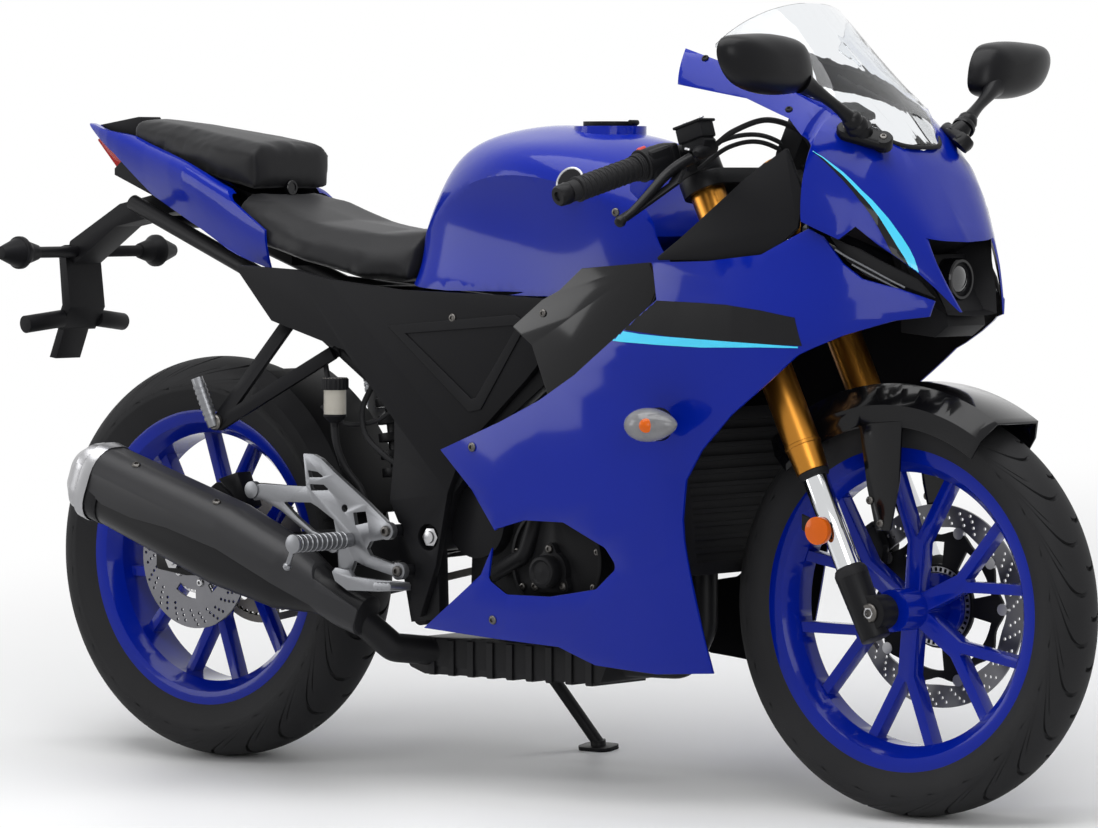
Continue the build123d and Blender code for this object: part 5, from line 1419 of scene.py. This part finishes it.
class BIKE_OT_nose(bpy.types.Operator):
    """Black duct with its lamp, and the position lamps in their slots"""
    bl_idname = "bike.nose"
    bl_label = "Nose fittings"

    # right half of the duct's mouth and of its back wall: (x, out, z)
    MOUTH = ((1403, 0, 821), (1398, 44, 825), (1385, 98, 829), (1392, 91, 790), (1408, 77, 754),
             (1422, 60, 716), (1429, 0, 713))
    BACK = ((1356, 0, 796), (1350, 34, 800), (1346, 66, 802), (1352, 60, 780), (1362, 52, 756),
            (1378, 42, 732), (1384, 0, 730))
    BEZEL_X, LENS_X, LAMP_Z = 1376, 1396, 765
    # the slot's upper edge behind the cowl and its lower edge behind the fairing: (x, out, z)
    SLOT_HIGH = ((1250, 172, 856), (1268, 168, 848), (1300, 150, 832), (1333, 130, 816), (1362, 110, 800))
    SLOT_LOW = ((1250, 178, 806), (1268, 174, 798), (1300, 160, 786), (1333, 144, 774), (1362, 126, 760))
    # the light guides on the slot's floor: (x, out, z)
    GUIDES = (((1306, 169, 808), (1320, 161, 798), (1336, 151, 788), (1353, 139.5, 777), (1369, 127, 766),
               (1386, 113, 755)),
              ((1326, 156, 787), (1343, 145, 776), (1360, 132.5, 765), (1377, 118, 753.5),
               (1390, 106, 746)))
    LIP = 0.04

    def mirrored(self, half):
        """A closed loop from its right half, whose first and last points lie on the centre plane."""
        return route(half) + route(half[-2:0:-1], -1)

    def execute(self, context):
        duct = bmesh.new()
        mouth, back = self.mirrored(self.MOUTH), self.mirrored(self.BACK)
        lip = [point + (middle - point) * self.LIP for point, middle in zip(mouth, back)]
        rows = skinned(duct, [mouth, lip, back], capped=False)
        duct.faces.new(rows[-1])
        piece("nose_duct", duct, "chassis", moulded_black(), "headlights")
        bezel = bmesh.new()
        turned(bezel, at(self.BEZEL_X, 0, self.LAMP_Z), FORWARD,
               [(0, 30), (26, 30), (28, 28), (28, 24.5), (22, 23)], 40)
        piece("lamp_bezel", bezel, "chassis", black_lacquer(), "headlights")
        lens = bmesh.new()
        turned(lens, at(self.LENS_X, 0, self.LAMP_Z), FORWARD,
               [(-2, 23), (2, 22), (6, 17), (8.5, 10), (9.5, 4), (9.6, 0.5)], 40)
        piece("lamp_lens", lens, "chassis", smoked_lens(), "headlights")
        liner, guides = meshes(2)

        def slot(side):
            high = curve_points(route(self.SLOT_HIGH, side), 5)
            low = curve_points(route(self.SLOT_LOW, side), 5)
            skinned(liner, [high, low], closed=False)
            for line in self.GUIDES:
                tube(guides, route(line, side, 1), 1.5, 8, 5)

        both_sides(slot)
        thicken(piece("slot_liners", liner, "chassis", black_lacquer(), "lamp_surrounds"), 1.5)
        piece("position_light_guides", guides, "chassis", light_guide(), "lamp_surrounds")
        return {"FINISHED"}


class BIKE_OT_screen_trim(bpy.types.Operator):
    """Black lower edge and screws of the windscreen"""
    bl_idname = "bike.screen_trim"
    bl_label = "Windscreen trim"

    EDGE = ((1331, 46, 954), (1300, 82, 972), (1265, 109, 990), (1232, 120, 1001), (1200, 130, 1011),
            (1140, 141, 1032), (1079, 147, 1056))
    FRONT = (1337, 0, 951)
    SCREWS = ((1060, 1078), (1215, 1004))

    def execute(self, context):
        mesh = bmesh.new()
        line = route(self.EDGE[::-1] + (self.FRONT,)) + route(self.EDGE, -1)
        tube(mesh, line, lambda share: 2.2 + 1.2 * math.sin(math.pi * share), 10, 6)
        piece("screen_edge", mesh, "chassis", soft_rubber(), "windscreen")
        mesh = bmesh.new()
        skin = skin_of("upper_cowl")

        def row(side):
            for x, z in self.SCREWS:
                found = laid_on(skin, x, z, side)
                if found:
                    screw(mesh, *found, 5.5, 2.5)

        both_sides(row)
        piece("windscreen_screws", mesh, "chassis", satin_black(), "windscreen")
        return {"FINISHED"}


class BIKE_OT_mirror_fittings(bpy.types.Operator):
    """Mirrors with domed shells, glass, stalks and two-screw feet"""
    bl_idname = "bike.mirror_fittings"
    bl_label = "Mirrors"

    # the shell's edge seen from behind: (out, z)
    EDGE = ((214, 1030), (206, 1062), (226, 1096), (274, 1106), (332, 1106), (385, 1099), (394, 1072),
            (362, 1038), (290, 1023))
    MIDDLE = (300, 1064)
    BACK_X, DEPTH, DRIFT = 1276, 38, 16
    STALK = ((1296, 232, 1040), (1304, 206, 1026), (1309, 172, 1008), (1313, 143, 990), (1315, 128, 978))
    STALK_FOOT = (1314, 140, 988)
    FOOT = ((1290, 128, 974), (1304, 120, 972), (1322, 108, 966), (1340, 96, 958))

    def loop(self, side, x, share, drift=0.0):
        """The shell's edge drawn in towards its middle."""
        edge = [Vector((out, z, 0)) for out, z in self.EDGE]
        ring = curve_points(edge[-1:] + edge + edge[:2], 6)[6:-6]
        out, z = self.MIDDLE
        return [at(x, side * (out + (p.x - out) * share - drift), z + (p.y - z) * share)
                for p in ring[:-1]]

    def execute(self, context):
        shells, glass, screws = meshes(3)

        def fit(side):
            rings = [(1269, 0.93, 0), (1268, 0.975, 0), (1270, 1.0, 0), (self.BACK_X, 1.0, 0)]
            for turn in (math.radians(9 * i) for i in range(1, 10)):
                rings.append((self.BACK_X + self.DEPTH * math.sin(turn), math.cos(turn) ** 0.75,
                              self.DRIFT * math.sin(turn) ** 2))
            skinned(shells, [self.loop(side, *ring) for ring in rings])
            skinned(glass, [self.loop(side, 1270, 0.93), self.loop(side, 1267.6, 0.92)])
            tube(shells, route(self.STALK, side),
                 lambda share: 17 - 9 * math.sin(math.pi * min(1.0, share * 1.1)) ** 0.8, 20, 6)
            turned(shells, route([self.STALK_FOOT], side)[0], (0.1, -side * 0.5, 1),
                   [(-12, 10), (-8, 13), (0, 15), (8, 13), (12, 9), (13, 1)], 28)
            foot = route(self.FOOT, side)
            way = (foot[3] - foot[0]).normalized()
            up = Vector((0.45, -side * 0.55, 0.7)).normalized()
            brick(shells, (foot[0] + foot[3]) / 2, way, up, (70, 30, 18), 8)
            for end in (foot[0] + way * 4, foot[3] - way * 4):
                turned(shells, end, up, [(-9, 14), (6, 14), (9, 12), (9.5, 8)], 28)
                screw(screws, end + up * 9, up, 5.5, 2.6)
            turned(shells, (foot[1] + foot[2]) / 2, up, [(0, 15), (14, 13), (20, 11)], 28)

        both_sides(fit)
        made = piece("mirror_shells", shells, "chassis", mirror_black(), "mirrors", sharp=42.0)
        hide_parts("mirrors")
        piece("mirror_glasses", glass, "chassis", mirror_glass(), "mirrors")
        piece("mirror_screws", screws, "chassis", dark_steel(), "mirrors")
        return {"FINISHED"}


class BIKE_OT_tank_fittings(bpy.types.Operator):
    """Blank discs on the tank, the pillion seat's lock and the side covers' ridges"""
    bl_idname = "bike.tank_fittings"
    bl_label = "Tank discs, seat lock and cover ridges"

    RIDGE = ((462, 686), (706, 706), (728, 694), (640, 566), (618, 562))
    RECESS = ((492, 676), (704, 692), (710, 688), (632, 582), (622, 580))
    RIDGE_OUT = 143.6
    DISC = (821, 901)
    LOCK = (143, 4, 892)

    def execute(self, context):
        rings, discs, ridges = meshes(3)
        skin = skin_of("fuel_tank")

        def fit(side):
            found = laid_on(skin, *self.DISC, side)
            if found:
                turned(rings, *found, [(-3, 23.5), (1.2, 23.5), (1.6, 22.8), (1.6, 20.4), (0.9, 20)], 56,
                       capped=False)
                turned(discs, *found, [(-3, 21), (0.7, 21), (1.1, 17), (1.1, 4), (1.1, 0.5)], 48)
            flat(ridges, self.RIDGE, (self.RECESS,), across(OUTWARD * side * self.RIDGE_OUT), 2.0, 0.8)

        both_sides(fit)
        turned(discs, at(*self.LOCK), FORWARD,
               [(-6, 12), (0.5, 12), (1.5, 11), (1.5, 8), (0, 7.5), (0, 0.5)], 36)
        piece("side_cover_ridges", ridges, "chassis", moulded_black(), "side_covers")
        piece("tank_rings", rings, "chassis", cap_silver(), "fuel_tank")
        piece("tank_discs", discs, "chassis", black_lacquer(), "fuel_tank")
        return {"FINISHED"}


class BIKE_OT_panel_screws(bpy.types.Operator):
    """Socket screws that hold the fairings, covers and shields"""
    bl_idname = "bike.panel_screws"
    bl_label = "Panel screws"

    # on each node: (x, z, radius of the head)
    SCREWS = {
        "side_fairings": ((658, 512, 7), (672, 256, 7)),
        "side_covers": ((585, 700, 6.5),),
        "air_panels": ((788, 711, 6),),
        "fuel_tank": ((900, 858, 6.5),),
        "silencer_shield": ((16, 466, 7), (172, 414, 7)),
        "front_fender": ((1295, 452, 6), (1313, 420, 6)),
    }

    def execute(self, context):
        for node, spots in self.SCREWS.items():
            mesh = bmesh.new()
            body = "steering" if node == "front_fender" else "chassis"
            for x, z, radius in spots:
                for side in (1,) if node == "silencer_shield" else (1, -1):
                    found = laid_on(skin_of(node), x, z, side)
                    if found:
                        screw(mesh, *found, radius, radius * 0.45)
            if mesh.verts:
                piece(node + "_screws", mesh, body, dark_steel(), node)
            else:
                mesh.free()
        return {"FINISHED"}


class BIKE_OT_stage(bpy.types.Operator):
    """Pale floor, soft lamps, white surroundings and the camera"""
    bl_idname = "bike.stage"
    bl_label = "Stage"

    FLOOR_RADIUS = 9.0
    FADE_START, FADE_END = 0.9, 2.6
    SURROUNDINGS = (0.75, 0.77, 0.8, 1.0)
    SURROUNDINGS_STRENGTH = 0.24
    WHITE = (1.0, 1.0, 1.0, 1.0)
    CAMERA_SPOT = (5880.30, -6430.65, 913.62)
    CAMERA_TARGET = (653.3, 0.0, 554.4)
    # each lamp in metres: (name, place, what it looks at, size, share of the lamp power)
    LAMPS = (("overhead_lamp", (0.2, -0.4, 3.6), (0, 0, 0.4), (4.2, 3.0), 1.0),
             ("front_lamp", (3.4, -2.6, 2.0), (0.3, 0, 0.6), (1.8, 2.2), 0.32),
             ("rear_lamp", (-3.2, -2.4, 1.8), (-0.3, 0, 0.6), (1.6, 2.0), 0.22))

    def floor(self, context):
        """A pale round floor that fades into the white surroundings."""
        mesh = bmesh.new()
        bmesh.ops.create_circle(mesh, cap_ends=True, segments=96, radius=self.FLOOR_RADIUS)
        data = bpy.data.meshes.new("studio_floor")
        mesh.to_mesh(data)
        mesh.free()
        ground = bpy.data.objects.new("studio_floor", data)
        context.scene.collection.objects.link(ground)
        material = bpy.data.materials.new("studio_floor")
        material.use_nodes = True
        tree = material.node_tree
        shader = tree.nodes["Principled BSDF"]
        shader.inputs["Base Color"].default_value = [*context.scene.bike_colours.floor, 1.0]
        shader.inputs["Roughness"].default_value = 0.5
        glow = wired(tree, "Emission", {"Strength": 1.0})
        place = wired(tree, "TexCoord", {})
        reach = wired(tree, "VectorMath", {0: place.outputs["Object"]}, operation="LENGTH")
        fade = wired(tree, "MapRange", {
            "Value": reach.outputs["Value"], "From Min": self.FADE_START, "From Max": self.FADE_END,
        }, interpolation_type="SMOOTHSTEP")
        both = wired(tree, "Math", {0: fade.outputs["Result"], 1: self.seen_rays(tree)},
                     operation="MULTIPLY")
        blend = wired(tree, "MixShader", {
            "Fac": both.outputs["Value"], 1: shader.outputs["BSDF"], 2: glow.outputs["Emission"]})
        tree.links.new(blend.outputs["Shader"], tree.nodes["Material Output"].inputs["Surface"])
        data.materials.append(material)

    def seen_rays(self, tree):
        """1 where the camera looks, straight or through gloss and glass."""
        rays = wired(tree, "LightPath", {})
        seen = rays.outputs["Is Camera Ray"]
        for kind in ("Is Glossy Ray", "Is Transmission Ray"):
            larger = wired(tree, "Math", {0: seen, 1: rays.outputs[kind]}, operation="MAXIMUM")
            seen = larger.outputs["Value"]
        return seen

    def surroundings(self, context):
        """White where the camera looks, dimmer where light falls from them."""
        world = bpy.data.worlds.new("studio")
        context.scene.world = world
        world.use_nodes = True
        tree = world.node_tree
        tree.nodes.clear()
        plain = wired(tree, "Background", {
            "Color": self.SURROUNDINGS, "Strength": self.SURROUNDINGS_STRENGTH})
        white = wired(tree, "Background", {"Color": self.WHITE, "Strength": 1.0})
        blend = wired(tree, "MixShader", {
            "Fac": self.seen_rays(tree), 1: plain.outputs["Background"], 2: white.outputs["Background"]})
        wired(tree, "OutputWorld", {"Surface": blend.outputs["Shader"]})

    def lamp(self, context, name, spot, target, size, power):
        """A soft rectangular lamp."""
        data = bpy.data.lights.new(name, "AREA")
        data.shape = "RECTANGLE"
        data.size, data.size_y = size
        data.energy = power
        thing = bpy.data.objects.new(name, data)
        context.scene.collection.objects.link(thing)
        thing.location = spot
        thing.rotation_euler = (Vector(target) - Vector(spot)).to_track_quat("-Z", "Y").to_euler()

    def camera(self, context):
        """A long lens from the front right, placed on the upright machine and leaning with it."""
        spot = Vector(self.CAMERA_SPOT)
        turn = (Vector(self.CAMERA_TARGET) - spot).to_track_quat("-Z", "Y").to_matrix().to_4x4()
        data = bpy.data.cameras.new("camera")
        data.lens = context.scene.bike_sizes.lens_length
        data.sensor_width = 36.0
        data.clip_end = 60.0
        thing = bpy.data.objects.new("camera", data)
        context.scene.collection.objects.link(thing)
        leaning = Matrix.Rotation(-LEAN, 4, "X") @ turn
        leaning.translation = PARKED @ spot
        thing.matrix_world = leaning
        context.scene.camera = thing

    def execute(self, context):
        self.floor(context)
        self.surroundings(context)
        for name, spot, target, size, share in self.LAMPS:
            self.lamp(context, name, spot, target, size, context.scene.bike_sizes.lamp_power * share)
        self.camera(context)
        context.scene.view_settings.view_transform = "Standard"
        return {"FINISHED"}


OPERATORS = (
    BIKE_OT_finishes, BIKE_OT_tyres, BIKE_OT_seats, BIKE_OT_decals, BIKE_OT_brake_discs,
    BIKE_OT_fork_fittings, BIKE_OT_bar_fittings, BIKE_OT_silencer_fittings, BIKE_OT_foot_fittings,
    BIKE_OT_engine_fittings, BIKE_OT_indicator_lenses, BIKE_OT_nose, BIKE_OT_screen_trim,
    BIKE_OT_mirror_fittings, BIKE_OT_tank_fittings, BIKE_OT_panel_screws, BIKE_OT_stage,
)


class BIKE_PT_dresser(bpy.types.Panel):
    """Sizes, colours and pieces of the motorcycle"""
    bl_idname = "BIKE_PT_dresser"
    bl_label = "Sport motorcycle"
    bl_space_type = "VIEW_3D"
    bl_region_type = "UI"
    bl_category = "Motorcycle"

    def draw(self, context):
        layout = self.layout
        for values in (context.scene.bike_sizes, context.scene.bike_colours):
            box = layout.box()
            for name in values.__annotations__:
                box.prop(values, name)
        for kind in OPERATORS:
            layout.operator(kind.bl_idname)


CLASSES = (BikeSizes, BikeColours, *OPERATORS, BIKE_PT_dresser)


def register():
    for kind in CLASSES:
        bpy.utils.register_class(kind)
    bpy.types.Scene.bike_sizes = PointerProperty(type=BikeSizes)
    bpy.types.Scene.bike_colours = PointerProperty(type=BikeColours)


def unregister():
    del bpy.types.Scene.bike_colours
    del bpy.types.Scene.bike_sizes
    for kind in reversed(CLASSES):
        bpy.utils.unregister_class(kind)


def main():
    register()
    for kind in OPERATORS:
        group, name = kind.bl_idname.split(".")
        getattr(getattr(bpy.ops, group), name)()
    bpy.context.view_layer.update()


if __name__ == "__main__":
    main()
